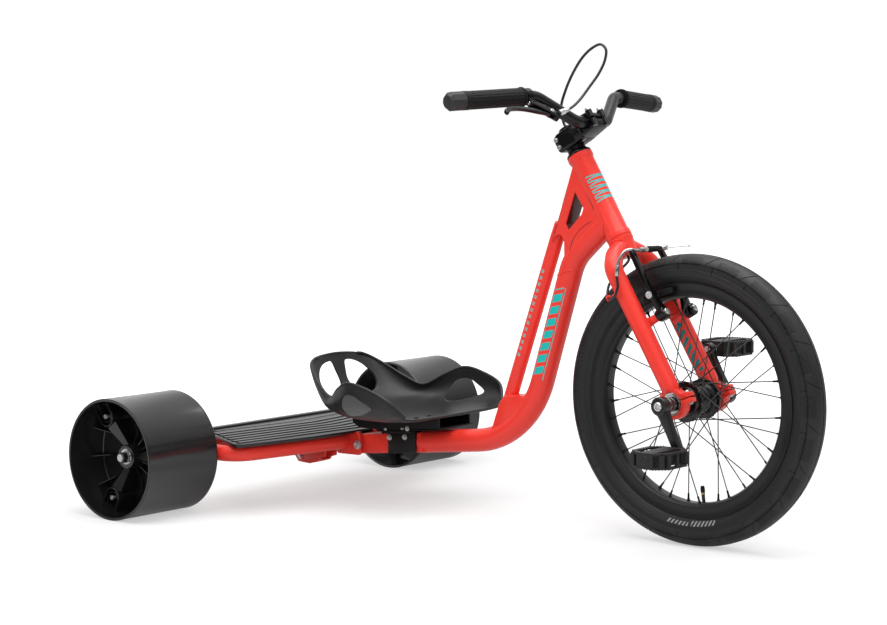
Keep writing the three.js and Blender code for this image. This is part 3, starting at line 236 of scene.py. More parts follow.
def rounded(corners, radii, steps=10):
    """Points along a path whose inner corners are rounded."""
    points = [corners[0]]
    for before, corner, after, radius in zip(corners, corners[1:], corners[2:], radii):
        into = (before - corner).normalized()
        out = (after - corner).normalized()
        half = into.angle(out) / 2
        centre = corner + (into + out).normalized() * (radius / 1000 / math.sin(half))
        start = corner + into * (radius / 1000 / math.tan(half)) - centre
        end = corner + out * (radius / 1000 / math.tan(half)) - centre
        turn = start.cross(end).normalized()
        for step in range(steps + 1):
            angle = (math.pi - 2 * half) * step / steps
            points.append(centre + Quaternion(turn, angle) @ start)
    return points + [corners[-1]]


def curved(stops, steps=8, closed=False):
    """A smooth line that passes through the stops, or a closed one."""
    last = len(stops) - 1
    line = []
    for i in range(last + closed):
        near = [i - 1, i, (i + 1) % (last + 1), (i + 2) % (last + 1)]
        if not closed:
            near = [max(i - 1, 0), i, i + 1, min(i + 2, last)]
        a, b, c, d = [stops[k] for k in near]
        for step in range(steps):
            t = step / steps
            line.append(0.5 * (2 * b + (c - a) * t + (2 * a - 5 * b + 4 * c - d) * t ** 2
                + (3 * b - a - 3 * c + d) * t ** 3))
    return line if closed else line + [stops[-1]]


def circle(radius, sides=32):
    """The corners of a regular outline, run anticlockwise."""
    return [(radius * math.cos(2 * math.pi * i / sides), radius * math.sin(2 * math.pi * i / sides))
        for i in range(sides)]


def arc(centre, radius, start, end, steps=12):
    """Outline points along an arc, with its angles in degrees."""
    angles = [math.radians(start + (end - start) * i / steps) for i in range(steps + 1)]
    return [(centre[0] + radius * math.cos(a), centre[1] + radius * math.sin(a)) for a in angles]


def soft_box(half_wide, half_high, corner, steps=4):
    """A rectangle with rounded corners, run anticlockwise."""
    points = []
    for quarter, (x, y) in enumerate(((1, 1), (-1, 1), (-1, -1), (1, -1))):
        for step in range(steps + 1):
            angle = math.pi / 2 * (quarter + step / steps)
            points.append((x * (half_wide - corner) + corner * math.cos(angle),
                y * (half_high - corner) + corner * math.sin(angle)))
    return points


def swept(points, section, side=SIDEWAYS, sizes=None, loop=False):
    """A section carried along points and capped, or joined up when it is a loop."""
    count = len(points)
    wide = len(section)
    verts = []
    for i, point in enumerate(points):
        ahead = points[(i + 1) % count] if loop else points[min(i + 1, count - 1)]
        behind = points[i - 1] if loop else points[max(i - 1, 0)]
        along = (ahead - behind).normalized()
        side = (side - along * side.dot(along)).normalized()
        above = along.cross(side)
        size = (sizes[i] if sizes else 1) / 1000
        verts += [point + side * (u * size) + above * (v * size) for u, v in section]
    faces = []
    for i in range(count if loop else count - 1):
        j = (i + 1) % count
        for k in range(wide):
            m = (k + 1) % wide
            faces.append((i * wide + k, i * wide + m, j * wide + m, j * wide + k))
    if not loop:
        faces.append(tuple(range(wide))[::-1])
        faces.append(tuple((count - 1) * wide + k for k in range(wide)))
    return verts, faces


def turned(profile, centre, axis, segments=48):
    """A line of (radius, height) points turned about an axis; it closes where it meets the axis."""
    across = axis.orthogonal().normalized()
    if abs(axis.y) > 0.99:
        across = FORWARD.copy()
    beside = axis.cross(across)
    verts = []
    rows = []
    for radius, height in profile:
        count = 1 if radius < 0.0001 else segments
        rows.append(range(len(verts), len(verts) + count))
        for k in range(count):
            angle = 2 * math.pi * k / segments
            out = across * math.cos(angle) + beside * math.sin(angle)
            verts.append(centre + (axis * height + out * radius) / 1000)
    faces = []
    for low, high in zip(rows, rows[1:]):
        for k in range(segments):
            ring = [low[k % len(low)], low[(k + 1) % len(low)], high[(k + 1) % len(high)],
                high[k % len(high)]]
            face = tuple(dict.fromkeys(ring))
            if len(face) > 2:
                faces.append(face)
    return verts, faces


def hoop(profile, centre, axis, segments=48):
    """A ring whose closed section is turned about an axis that it never meets."""
    return turned(profile + profile[:1], centre, axis, segments)


def plate(outlines, origin, across, above, low, high, edge=0.0, steps=2):
    """A flat piece: one outline, then its holes, pulled along across x above, with eased edges."""
    mesh = bmesh.new()
    along = across.cross(above)
    loops = [[origin + (across * u + above * v) / 1000 for u, v in outline] for outline in outlines]
    starts = []
    for level in (low, high):
        starts.append([[mesh.verts.new(point + along * level / 1000) for point in loop]
            for loop in loops])
    flat_points = [[Vector((u, v, 0)) for u, v in outline] for outline in outlines]
    for level, rows in enumerate(starts):
        corners = [vert for row in rows for vert in row]
        if len(outlines) == 1:
            mesh.faces.new(corners if level else corners[::-1])
        else:
            for a, b, c in tessellate_polygon(flat_points):
                mesh.faces.new((corners[a], corners[b], corners[c]))
    for bottom, top in zip(*starts):
        for k in range(len(bottom)):
            m = (k + 1) % len(bottom)
            mesh.faces.new((bottom[k], bottom[m], top[m], top[k]))
    bmesh.ops.recalc_face_normals(mesh, faces=mesh.faces)
    if edge:
        sharp = [e for e in mesh.edges if e.calc_face_angle(0) > math.radians(30)]
        bmesh.ops.bevel(mesh, geom=sharp, offset=edge / 1000, segments=steps, profile=0.5, affect="EDGES",
            clamp_overlap=True)
    return taken(mesh)


def taken(mesh):
    """A bmesh as plain corner and face lists, which every maker here hands on."""
    mesh.verts.index_update()
    verts = [vert.co.copy() for vert in mesh.verts]
    faces = [tuple(vert.index for vert in face.verts) for face in mesh.faces]
    mesh.free()
    return verts, faces


def rod(start, end, radius, sides=24, edge=0.0):
    """A round bar with eased ends."""
    length = (end - start).length * 1000
    profile = [(0, 0), (radius - edge, 0), (radius, edge), (radius, length - edge),
        (radius - edge, length), (0, length)]
    return turned(profile, start, (end - start).normalized(), sides)


def flipped(point):
    return Vector((point.x, -point.y, point.z))


def mirrored(shape):
    """The same piece on the rider's other side."""
    verts, faces = shape
    return [flipped(vert) for vert in verts], [face[::-1] for face in faces]


def both_sides(shapes):
    return shapes + [mirrored(shape) for shape in shapes]


def merged(shapes):
    """Several shapes as one list of corners and faces."""
    verts = []
    faces = []
    for more_verts, more_faces in shapes:
        start = len(verts)
        verts += more_verts
        faces += [tuple(start + index for index in face) for face in more_faces]
    return verts, faces


def loose(name, shape):
    """A mesh object from one shape, with its faces turned outward."""
    mesh = bmesh.new()
    made = [mesh.verts.new(point) for point in shape[0]]
    for face in shape[1]:
        mesh.faces.new([made[index] for index in face])
    bmesh.ops.recalc_face_normals(mesh, faces=mesh.faces)
    data = bpy.data.meshes.new(name)
    mesh.to_mesh(data)
    mesh.free()
    made_object = bpy.data.objects.new(name, data)
    bpy.context.collection.objects.link(made_object)
    return made_object


def settled(piece, finish, body, stands_for, crease=35):
    """Smooths a piece and gives it its finish, its body and the solids it stands for."""
    if not piece.data.materials:
        piece.data.materials.append(finish.material)
    piece.data.shade_smooth()
    piece.data.set_sharp_from_angle(angle=math.radians(crease))
    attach(piece, body)
    if stands_for:
        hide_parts(*stands_for)


def built(name, shapes, finish, body, stands_for=(), crease=35):
    """One finished piece from several closed shapes."""
    settled(loose(name, merged(shapes)), finish, body, stands_for, crease)


def grown(name, tree, seed_shape, inputs, finish, body, stands_for=()):
    """Runs a Geometry Nodes tree on a seed mesh and keeps its result as a plain piece."""
    data = bpy.data.meshes.new(name + "_seed")
    data.from_pydata(*seed_shape)
    seed = bpy.data.objects.new(name + "_seed", data)
    bpy.context.collection.objects.link(seed)
    modifier = seed.modifiers.new("grow", "NODES")
    modifier.node_group = tree
    named = {item.name: item.identifier for item in tree.interface.items_tree if item.in_out == "INPUT"}
    for label, value in {**inputs, "Finish": finish.material}.items():
        modifier[named[label]] = value
    bpy.context.view_layer.update()
    result = seed.evaluated_get(bpy.context.evaluated_depsgraph_get())
    kept = bpy.data.meshes.new_from_object(result)
    bpy.data.objects.remove(seed)
    piece = bpy.data.objects.new(name, kept)
    bpy.context.collection.objects.link(piece)
    settled(piece, finish, body, stands_for)


def new_tree(name, sockets):
    """A Geometry Nodes tree with its named inputs, ready to be filled."""
    tree = bpy.data.node_groups.new(name, "GeometryNodeTree")
    for label, kind in sockets:
        tree.interface.new_socket(name=label, in_out="INPUT", socket_type="NodeSocket" + kind)
    tree.interface.new_socket(name="Geometry", in_out="OUTPUT", socket_type="NodeSocketGeometry")
    graph = Graph(tree, "")
    group = tree.nodes.new("NodeGroupInput")
    inputs = {label: Signal(graph, group.outputs[label]) for label, _ in sockets}
    return tree, graph, inputs


def finish_tree(tree, graph, instances, finish):
    """Every tree ends the same way: real meshes, one finish."""
    real = graph.node("GeometryNodeRealizeInstances", {}, [instances])
    painted = graph.node("GeometryNodeSetMaterial", {}, {0: real, 2: finish})
    output = tree.nodes.new("NodeGroupOutput")
    tree.links.new(painted.socket, output.inputs[0])


# weld ripples: flattened beads stepped along a line, each one lapping the last
bead_tree, grow, want = new_tree("weld_ripples", [("Geometry", "Geometry"), ("Pitch", "Float"),
    ("Bead", "Vector"), ("Finish", "Material")])
path = grow.node("GeometryNodeMeshToCurve", {}, [want["Geometry"]])
steps = grow.node("GeometryNodeResampleCurve", {"mode": "LENGTH"},
    {"Curve": path, "Length": want["Pitch"]})
ball = grow.node("GeometryNodeMeshUVSphere", {}, {"Segments": 8, "Rings": 5, "Radius": 1.0})
heading = grow.node("GeometryNodeInputTangent")
turn = grow.node("FunctionNodeAlignRotationToVector", {"axis": "X"}, {"Vector": heading})
ripples = grow.node("GeometryNodeInstanceOnPoints", {}, {"Points": steps, "Instance": ball,
    "Rotation": turn, "Scale": want["Bead"]})
finish_tree(bead_tree, grow, ripples, want["Finish"])


def line_mesh(lines):
    """Open lines as a mesh of edges, for a tree to follow."""
    verts = []
    edges = []
    for line in lines:
        start = len(verts)
        verts += line
        edges += [(start + i, start + i + 1) for i in range(len(line) - 1)]
    return verts, edges, []


def ring_line(centre, axis, radius, steps=36):
    """Places round an axis, whose last one is the first again."""
    across = axis.orthogonal().normalized()
    beside = axis.cross(across)
    angles = [2 * math.pi * i / steps for i in range(steps + 1)]
    return [centre + (across * math.cos(a) + beside * math.sin(a)) * radius / 1000 for a in angles]


def traced(start, direction, radius, target, reach=0.2, steps=40):
    """The line where a round tube, run from start along direction, first meets the target shape."""
    tree = BVHTree.FromPolygons(*target)
    hits = []
    for origin in ring_line(start, direction.normalized(), radius, steps):
        hit = tree.ray_cast(origin, direction.normalized(), reach)[0]
        if hit is not None:
            hits.append(hit)
    return hits


HEAD_ANGLE = math.radians(59)
UP_HEAD = Vector((-math.cos(HEAD_ANGLE), 0, math.sin(HEAD_ANGLE)))
AHEAD = Vector((math.sin(HEAD_ANGLE), 0, math.cos(HEAD_ANGLE)))
HEAD_BOTTOM = at(843, 0, 542)
HEAD_LENGTH = 175
HEAD_TOP = HEAD_BOTTOM + UP_HEAD * HEAD_LENGTH / 1000


def on_head(ahead, side, up):
    """A place in millimetres ahead of, beside and up the steering axis from the head tube's top."""
    return HEAD_TOP + (AHEAD * ahead + SIDEWAYS * side + UP_HEAD * up) / 1000


def on_fork(down, side, ahead):
    """A place in millimetres down the steering axis from the head tube's bottom."""
    return HEAD_BOTTOM + (AHEAD * ahead + SIDEWAYS * side - UP_HEAD * down) / 1000


RED = (0.88, 0.045, 0.030, 1)
RED_DEEP = (0.85, 0.040, 0.027, 1)
TEAL = (0.0, 0.50, 0.47, 1)
PALE_TEAL = (0.24, 0.42, 0.38, 1)


def sprayed(name):
    """Gloss enamel over powder: faint orange peel, slight drift of shade, a clear coat."""
    paint = Finish(name, {"Specular IOR Level": 0.3, "Coat Weight": 0.25, "Coat Roughness": 0.12,
        "IOR": 1.5})
    peel = paint.noise(900, 3)
    drift = paint.noise(9, 2)
    paint.drive("Roughness", 0.27 + 0.1 * paint.noise(60, 3))
    paint.relief(peel + 0.4 * paint.noise(240, 2), 0.00006, 0.35)
    return paint, paint.two_colours(drift, RED, RED_DEEP)


def along_line(paint, origin, direction):
    """How far, in metres, each point of the surface lies along a direction from an origin."""
    offset = paint.node("VectorMath", {"operation": "SUBTRACT"}, {0: paint.place(), 1: origin})
    return paint.node("VectorMath", {"operation": "DOT_PRODUCT"}, {0: offset, 1: direction}, output=1)


def within(signal, low, high, blur=0.0004):
    """1 between low and high, 0 outside, with a sharp printed edge."""
    ramp = signal.graph.ramp
    return ramp(signal, low - blur, low + blur) * (1 - ramp(signal, high - blur, high + blur))


def fract(signal):
    return signal.graph.maths("FRACT", signal)


def absolute(signal):
    return signal.graph.maths("ABSOLUTE", signal)


def worn(name, first, second, roughness, grain, depth, constants=None, stretch=(1, 1, 1)):
    """A made surface: two near shades drifting into each other, uneven gloss and a fine grain."""
    surface = Finish(name, constants or {})
    surface.drive("Base Color", surface.two_colours(surface.noise(18, 3), first, second))
    surface.drive("Roughness", roughness - 0.05 + 0.1 * surface.noise(70, 2))
    surface.relief(surface.noise(grain, 3, stretch), depth, 0.6)
    return surface


frame_paint, frame_red = sprayed("frame_enamel")
TUBE_DIRECTION = Vector((0.301, 0, 0.954))
TUBE_BACK = Vector((-0.954, 0, 0.301))
BAND_FOOT = at(676, 0, 300)
run = along_line(frame_paint, BAND_FOOT, TUBE_DIRECTION)
back = along_line(frame_paint, BAND_FOOT, TUBE_BACK)
slant = fract((run + 0.55 * back + 0.5) / 0.024)
BAND_START = -0.015
BAND_END = 0.155
bars = within(slant, 0.18, 0.82, 0.02) * within(run + 0.55 * back, BAND_START, BAND_END)
bars = bars * within(back, -0.0095, 0.0095)
fine_line = within(back, 0.0118, 0.0132) + within(back, -0.0132, -0.0118)
fine_line = fine_line * within(run, BAND_START - 0.008, BAND_END + 0.004)
print_mask = bars + fine_line
REAR_DIRECTION = Vector((112, 0, 310)).normalized()
REAR_BACK = Vector((-310, 0, 112)).normalized()
REAR_FOOT = at(588, 0, 226)
rear_run = along_line(frame_paint, REAR_FOOT, REAR_DIRECTION)
rear_back = along_line(frame_paint, REAR_FOOT, REAR_BACK)
dashes = within(fract((rear_run + 1) / 0.013), 0.2, 0.7, 0.03)
dashes = dashes * within(rear_run, 0.09, 0.27) * within(rear_back, -0.002, 0.0035)
motif_up = along_line(frame_paint, HEAD_BOTTOM, UP_HEAD)
motif_out = along_line(frame_paint, HEAD_BOTTOM, AHEAD)
petal = absolute(fract((motif_up - 0.05) / 0.011) - 0.5)
motif = within(motif_up, 0.072, 0.127) * within(motif_out, 0.004, 0.03)
motif = motif * within(petal + 12 * motif_out, 0.27, 0.5, 0.02)
graphics = frame_paint.two_colours(dashes, frame_red, PALE_TEAL)
graphics = frame_paint.two_colours(print_mask + motif, graphics, TEAL)
aside = absolute(along_line(frame_paint, HEAD_BOTTOM, SIDEWAYS))
# painted shade: the window's inner faces between the gusset plates turn dark red, standing for the shade
# that falls inside the box
BOX_CORNER = at(730, 0, 552)
box_ahead = along_line(frame_paint, BOX_CORNER, FORWARD)
box_up = along_line(frame_paint, BOX_CORNER, UPWARD)
painted_window_shade = within(box_ahead, 0, 0.049) * within(box_up, 0, 0.079)
painted_window_shade = painted_window_shade * (1 - frame_paint.ramp(aside, 0.0160, 0.0172))
graphics = frame_paint.two_colours(painted_window_shade, graphics, (0.085, 0.005, 0.004, 1))
frame_paint.drive("Base Color", graphics)

MAIN_RADIUS = 22.3
REAR_RADIUS = 13.3
HEAD_RADIUS = 22
COLLAR_RADIUS = 24
REAR_KNEE = at(640, 0, 370)
MAIN_KNEE = at(741, 0, 502)
main_line = rounded([at(372, 0, 129.2), at(632, 0, 157), MAIN_KNEE, at(820, 0, 574)], [185, 95], 18)
main_tube = swept(main_line, circle(MAIN_RADIUS, 40))
rear_tube = swept([REAR_FOOT, REAR_KNEE, at(700, 0, 536), at(712, 0, 566)], circle(REAR_RADIUS, 28))
TAIL_SLOPE = math.radians(6)
tail_up = Vector((-math.sin(TAIL_SLOPE), 0, math.cos(TAIL_SLOPE)))
square_tail = plate([soft_box(20, 20, 3.5), soft_box(16.8, 16.8, 2)[::-1]], at(204, 0, 111.3), SIDEWAYS,
    tail_up, 0, 180)
head_tube = hoop([(16.4, 0), (COLLAR_RADIUS - 1, 0), (COLLAR_RADIUS, 1), (COLLAR_RADIUS, 8),
    (COLLAR_RADIUS - 0.6, 10), (HEAD_RADIUS, 13.5), (HEAD_RADIUS, HEAD_LENGTH - 13.5),
    (COLLAR_RADIUS - 0.6, HEAD_LENGTH - 10), (COLLAR_RADIUS, HEAD_LENGTH - 8),
    (COLLAR_RADIUS, HEAD_LENGTH - 1), (COLLAR_RADIUS - 1, HEAD_LENGTH), (16.4, HEAD_LENGTH)], HEAD_BOTTOM,
    UP_HEAD, 56)
GUSSET_HALF = 19.5


def side_view(points):
    """An outline in the view from the right, measured from under the rear axle."""
    return [(x - ORIGIN_AHEAD_OF_AXLE, z) for x, z in points]


def side_plate(outlines, low, high, edge=0.0, steps=2):
    """A plate with such outlines that reaches from low to high along +Y."""
    return plate([side_view(outline) for outline in outlines], Vector(), FORWARD, UPWARD, -high, -low,
        edge, steps)


gusset_outline = [(703, 531), (708, 541), (717, 547), (726, 545), (731, 535), (732, 482), (745, 500),
    (770, 525), (828, 573), (762, 682), (757, 682), (751, 671)]
window = [(756, 626), (735, 567), (741, 555), (771, 585), (775, 596)]
upper_gusset = side_plate([gusset_outline, window[::-1]], -GUSSET_HALF, GUSSET_HALF, 2.8, 3)
WEB_HALF = 16.5
lower_web = side_plate([[(547, 150), (561, 187), (575, 225), (586, 237), (596, 240), (641, 240),
    (648, 234), (651, 215), (613, 168)]], -WEB_HALF, WEB_HALF, 3.5, 3)
# raised crease and lip lines pressed into the gusset's sides, coloured dark red as painted shade along
# the crease and the seam
crease_line = curved([at(743, -19.4, 500), at(744.6, -19.4, 513), at(749, -19.4, 531),
    at(761, -19.4, 550), at(779, -19.4, 565), at(793, -19.4, 572)], 6)
crease = swept(crease_line, circle(0.7, 8))
groove_line = [at(771, -19.2, 648), at(785, -19.2, 622), at(799, -19.2, 595)]
groove = swept(groove_line, circle(1.1, 8))
scoop = swept(curved([at(601, -12.5, 229), at(607, -14.5, 235), at(614, -15.6, 238),
    at(624, -15.4, 239.5)], 6), circle(2.4, 10))
frame_shapes = [main_tube, rear_tube, square_tail, head_tube, upper_gusset, lower_web]
built("frame_welding", frame_shapes + both_sides([scoop]), frame_paint, "frame",
    ["main_frame"])
# painted shade: the crease and seam lines take a dark red that stands for the shade along them
painted_crease_shade = worn("painted_crease_shade", (0.20, 0.010, 0.008, 1), (0.26, 0.014, 0.010, 1), 0.4, 800, 0.00002)
built("gusset_creases", both_sides([crease, groove]), painted_crease_shade, "frame")
SEAM_HEIGHT = 0.4725
SEAM_SLIDE = 0.7
seam_at = min(range(1, len(main_line) - 1), key=lambda i: abs(main_line[i].z - SEAM_HEIGHT))
seam_way = (main_line[seam_at + 1] - main_line[seam_at - 1]).normalized()
seam_front = seam_way.cross(SIDEWAYS) * -1
tube_seam = []
for step in range(49):
    angle = 2 * math.pi * step / 48
    lift = seam_way * (SEAM_SLIDE * math.sin(angle))
    around = SIDEWAYS * math.cos(angle) + seam_front * math.sin(angle)
    tube_seam.append(main_line[seam_at] + (around + lift) * MAIN_RADIUS / 1000)
seam_lines = [tube_seam, traced(REAR_KNEE, REAR_DIRECTION, REAR_RADIUS, upper_gusset),
    traced(REAR_KNEE, -REAR_DIRECTION, REAR_RADIUS, lower_web),
    traced(MAIN_KNEE, at(818, 0, 573) - MAIN_KNEE, MAIN_RADIUS, head_tube)]
grown("frame_weld_beads", bead_tree, line_mesh(seam_lines),
    {"Pitch": 0.0016, "Bead": (0.0012, 0.0015, 0.0009)}, frame_paint, "frame")

# Rear frame: one bent tube from drum to drum, an axle tube, a keel and a clevis, welded and sprayed
# like the main frame. One hexagon bolt through the clevis straps it to the square tail.
rear_paint, rear_red = sprayed("rear_enamel")
rear_paint.drive("Base Color", rear_red)
DRUM_MIDDLE = 117
SWEEP_RADIUS = 15.5
ARM_SIDE = 295
sweep_line = rounded([at(-6, -ARM_SIDE, DRUM_MIDDLE), at(146, -ARM_SIDE, DRUM_MIDDLE),
    at(186, -40, DRUM_MIDDLE), at(186, 40, DRUM_MIDDLE), at(146, ARM_SIDE, DRUM_MIDDLE),
    at(-6, ARM_SIDE, DRUM_MIDDLE)], [46, 90, 90, 46], 12)
sweep_tube = swept(sweep_line, circle(SWEEP_RADIUS, 32), UPWARD)
axle_tube = rod(at(0, -314, DRUM_MIDDLE), at(0, 314, DRUM_MIDDLE), 13.5, 32, 1)
keel = swept([at(0, 0, DRUM_MIDDLE), at(190, 0, DRUM_MIDDLE)], soft_box(14, 14, 3), SIDEWAYS)
clevis_outline = [(164, 94), (168, 90), (224, 91), (228, 95), (228, 134), (224, 138), (168, 137),
    (164, 133)]
clevis = side_plate([clevis_outline], 21, 29, 1.4)
clevis_block = side_plate([[(158, 100), (166, 92), (200, 92), (200, 136), (166, 136), (158, 130)]], -28.5,
    28.5, 3, 3)
bracket_outline = [(28, 118), (30, 96), (34, 76), (46, 61), (78, 59), (82, 64), (102, 66), (106, 72),
    (120, 76), (124, 118)]
hole = arc((51, 72), 4, 0, 337.5, 15)
bracket = side_plate([bracket_outline, hole[::-1]], 13.5, 19, 1.2)
bracket_floor = side_plate([[(52, 60), (78, 59), (102, 66), (102, 69), (78, 62), (52, 63)]], -18.8, 18.8,
    0.8)
built("rear_welding", [sweep_tube, axle_tube, keel, clevis_block, bracket_floor]
    + both_sides([clevis, bracket]), rear_paint, "frame", ["rear_frame"])
sweep_side = min((point for point in sweep_line if point.y < 0), key=lambda point: abs(point.y + 0.030))
sweep_seam = ring_line(sweep_side + SIDEWAYS * -0.0012, Vector((0.12, 1, 0)).normalized(), SWEEP_RADIUS
    + 0.2)
axle_seam = ring_line(at(-4, -294, DRUM_MIDDLE), FORWARD, SWEEP_RADIUS - 1)
mirror_seam = [flipped(point) for point in sweep_seam]
grown("rear_weld_beads", bead_tree, line_mesh([sweep_seam, mirror_seam, axle_seam]),
    {"Pitch": 0.0016, "Bead": (0.0012, 0.0016, 0.0010)}, rear_paint, "frame")


def hex_bolt(place, axis, radius, height):
    """A washer and a chamfered hexagon head with a shallow dish, standing on a face."""
    washer = turned([(0, 0), (radius * 1.25, 0), (radius * 1.25, height * 0.16), (0, height * 0.16)],
        place, axis, 28)
    head = turned([(0, height * 0.16), (radius, height * 0.16), (radius, height * 0.86),
        (radius * 0.86, height), (radius * 0.6, height), (radius * 0.52, height * 0.94),
        (0, height * 0.94)], place, axis, 6)
    return [washer, head]


def socket_bolt(place, axis, radius, height):
    """A round head with a hexagon socket."""
    head = turned([(0, 0), (radius, 0), (radius, height * 0.7), (radius * 0.85, height),
        (radius * 0.62, height)], place, axis, 24)
    socket = turned([(radius * 0.62, height), (radius * 0.5, height * 0.96),
        (radius * 0.46, height * 0.4), (0, height * 0.4)], place, axis, 6)
    return [head, socket]


zinc = worn("zinc_plate", grey(0.62, 0.60), grey(0.70, 0.69), 0.36, 1400, 0.00004, {"Metallic": 0.75})
bolt_place = at(222, 0, 112)
frame_bolt = rod(bolt_place - SIDEWAYS * 0.030, bolt_place + SIDEWAYS * 0.030, 5, 16)
bolt_ends = hex_bolt(bolt_place + SIDEWAYS * 0.0292, SIDEWAYS, 7.4, 5.8)
built("frame_bolt_set", [frame_bolt] + both_sides(bolt_ends), zinc, "frame", ["frame_bolt"])
lower_bolt = hex_bolt(at(51, 19, 72), SIDEWAYS, 5.2, 4.2)
built("bracket_bolt", both_sides(lower_bolt) + [rod(at(51, -19, 72), at(51, 19, 72), 3.8, 16)], zinc,
    "frame")

# Deck: a pressed tray with swept ribs, a kick rail at the back and a folded edge, coated satin black
# and fixed from below on the rear frame.
deck_coat = worn("deck_coat", grey(0.007, 0.0075), grey(0.011, 0.012), 0.32, 700, 0.00008,
    {"Specular IOR Level": 0.45, "Coat Weight": 0.25, "Coat Roughness": 0.2})
DECK_LOW = 133.6
DECK_TOP = 141
deck_half = [(214, 0), (206, 140), (186, 240), (172, 300), (164, 309), (150, 306), (44, 252), (-20, 221),
    (-27, 212)]
deck_outline = deck_half + [(x, -y) for x, y in deck_half[1:]][::-1]
flat_deck = [(x - ORIGIN_AHEAD_OF_AXLE, y) for x, y in deck_outline]
tray = plate([flat_deck], Vector(), FORWARD, SIDEWAYS, DECK_LOW, DECK_TOP, 1.2)
SWEEP_BACK = 0.115


def deck_rib(x, width, height, reach, base=141):
    """A rib that runs from side to side and sweeps back towards its ends."""
    drop = SWEEP_BACK * reach
    line = [at(x - drop, -reach, base), at(x - drop / 2, -reach / 2, base), at(x, 0, base),
        at(x - drop / 2, reach / 2, base), at(x - drop, reach, base)]
    return swept(line, soft_box(width / 2, height, height * 0.8), SIDEWAYS.cross(UPWARD))


ribs = [deck_rib(x + 6.5, 12, 2.1, min(215 + 0.47 * x, 300)) for x in (58, 84, 110, 136, 162, 186)]
fine_ribs = [deck_rib(x + 19.5, 3, 0.9, min(208 + 0.47 * x, 290)) for x in (32, 58, 84, 110, 136, 162)]
rear_panel = deck_rib(12, 40, 0.8, 210)
kick_rail = swept([at(-19, -213, 141.6), at(-19, 213, 141.6)], soft_box(8, 4.3, 2.8), FORWARD)
lip_line = [at(x, y, 138.6) for x, y in deck_half[:6]]
folded_edge = swept(lip_line, soft_box(2.2, 2.6, 1.2), UPWARD)
built("deck_tray", [tray, kick_rail, rear_panel] + ribs + fine_ribs + both_sides([folded_edge]),
    deck_coat, "frame", ["deck"])

# Rear drums: one glossy moulding each, a wide sleeve round a web and hub, stiffened by wedge spokes,
# thin ribs and U-shaped bosses. They turn on cartridge bearings and are held by a nut on the axle.
gloss_black = worn("drum_gloss", grey(0.01, 0.0105), grey(0.0135, 0.014), 0.20, 60, 0.0006,
    {"Coat Weight": 0.3, "Coat Roughness": 0.12, "IOR": 1.5}, (1, 0.25, 1))
bearing_steel = worn("bearing_steel", grey(0.55, 0.54), grey(0.62, 0.61), 0.22, 900, 0.00003,
    {"Metallic": 1})
DRUM_RADIUS = 117
DRUM_WALL = 5
AXLE = at(0, 0, DRUM_MIDDLE)
inner_wall = DRUM_RADIUS - DRUM_WALL
drum_profile = [(16.2, 330), (22, 330), (23.5, 331.5), (24.5, 392), (28, 396), (106, 396),
    (inner_wall, 391), (inner_wall, 314.5), (113.5, 313), (115.5, 313.5), (DRUM_RADIUS, 315.5),
    (DRUM_RADIUS, 319), (116.6, 321), (116.6, 483.5), (DRUM_RADIUS, 485), (DRUM_RADIUS, 488.5),
    (115.5, 490), (113.5, 490), (inner_wall, 488.8), (inner_wall, 407.5), (110.5, 406), (30, 406),
    (25.2, 411), (23.2, 444.5), (21.8, 446), (16.2, 446), (16.2, 436), (10, 435), (10, 341), (16.2, 341),
    (16.2, 330)]
SPOKE_ANGLES = (125, 245, 5)
RIB_ANGLES = (155, 185, 215, 35, 65, 275, 305, 335, 95)
# the wedge spokes widen and rise from the hub to the bosses: reach, half width and top at each end
WEDGE_ENDS = ((22, 5.5, 431), (71.5, 13, 444.5))
WEDGE_FACES = [(0, 1, 3, 2), (4, 6, 7, 5), (0, 4, 5, 1), (2, 3, 7, 6), (1, 5, 7, 3), (0, 2, 6, 4)]
U_WALLS = ((20, 18), (12.2, 10.4))
U_REACH = 111.6
BOLT_CIRCLE = 91
SIDES = (("left", 1), ("right", -1))


def outward(angle):
    """The way out from a wheel's middle, with angle 0 straight ahead."""
    return Vector((math.cos(angle), 0, math.sin(angle)))


def drum_shapes(axis):
    shapes = [turned(drum_profile, AXLE, axis, 112)]
    for degrees in SPOKE_ANGLES:
        out = outward(math.radians(degrees))
        aside = axis.cross(out)
        wedge = [(22, 366), (22, 432), (40, 426), (82, 418), (111.8, 418), (111.8, 384), (89, 384),
            (40, 372)]
        shapes.append(plate([wedge], AXLE, out, axis, -6, 6, 1.2))
        corners = []
        for reach, half, top in WEDGE_ENDS:
            for side_way in (-1, 1):
                foot = AXLE + (out * reach + aside * half * side_way) / 1000
                corners += [foot + axis * rise / 1000 for rise in (404, top)]
        shapes.append((corners, WEDGE_FACES))
        for outer, inner in U_WALLS:
            ends = [(U_REACH, -outer), (U_REACH, -inner)]
            u_shape = [(U_REACH, outer)] + arc((BOLT_CIRCLE, 0), outer, 90,
                270) + ends + arc((BOLT_CIRCLE, 0), inner, 270, 90) + [(U_REACH, inner)]
            top = 450 if outer > 15 else 446
            shapes.append(plate([u_shape], AXLE, out, aside, 404, top, 0.4, 1))
    for degrees in RIB_ANGLES:
        rib = [(23, 405), (23, 424), (45, 412), (85, 412), (111.6, 438), (111.6, 405)]
        shapes.append(plate([rib], AXLE, outward(math.radians(degrees)), axis, -1.1, 1.1, 0.4, 1))
    return shapes


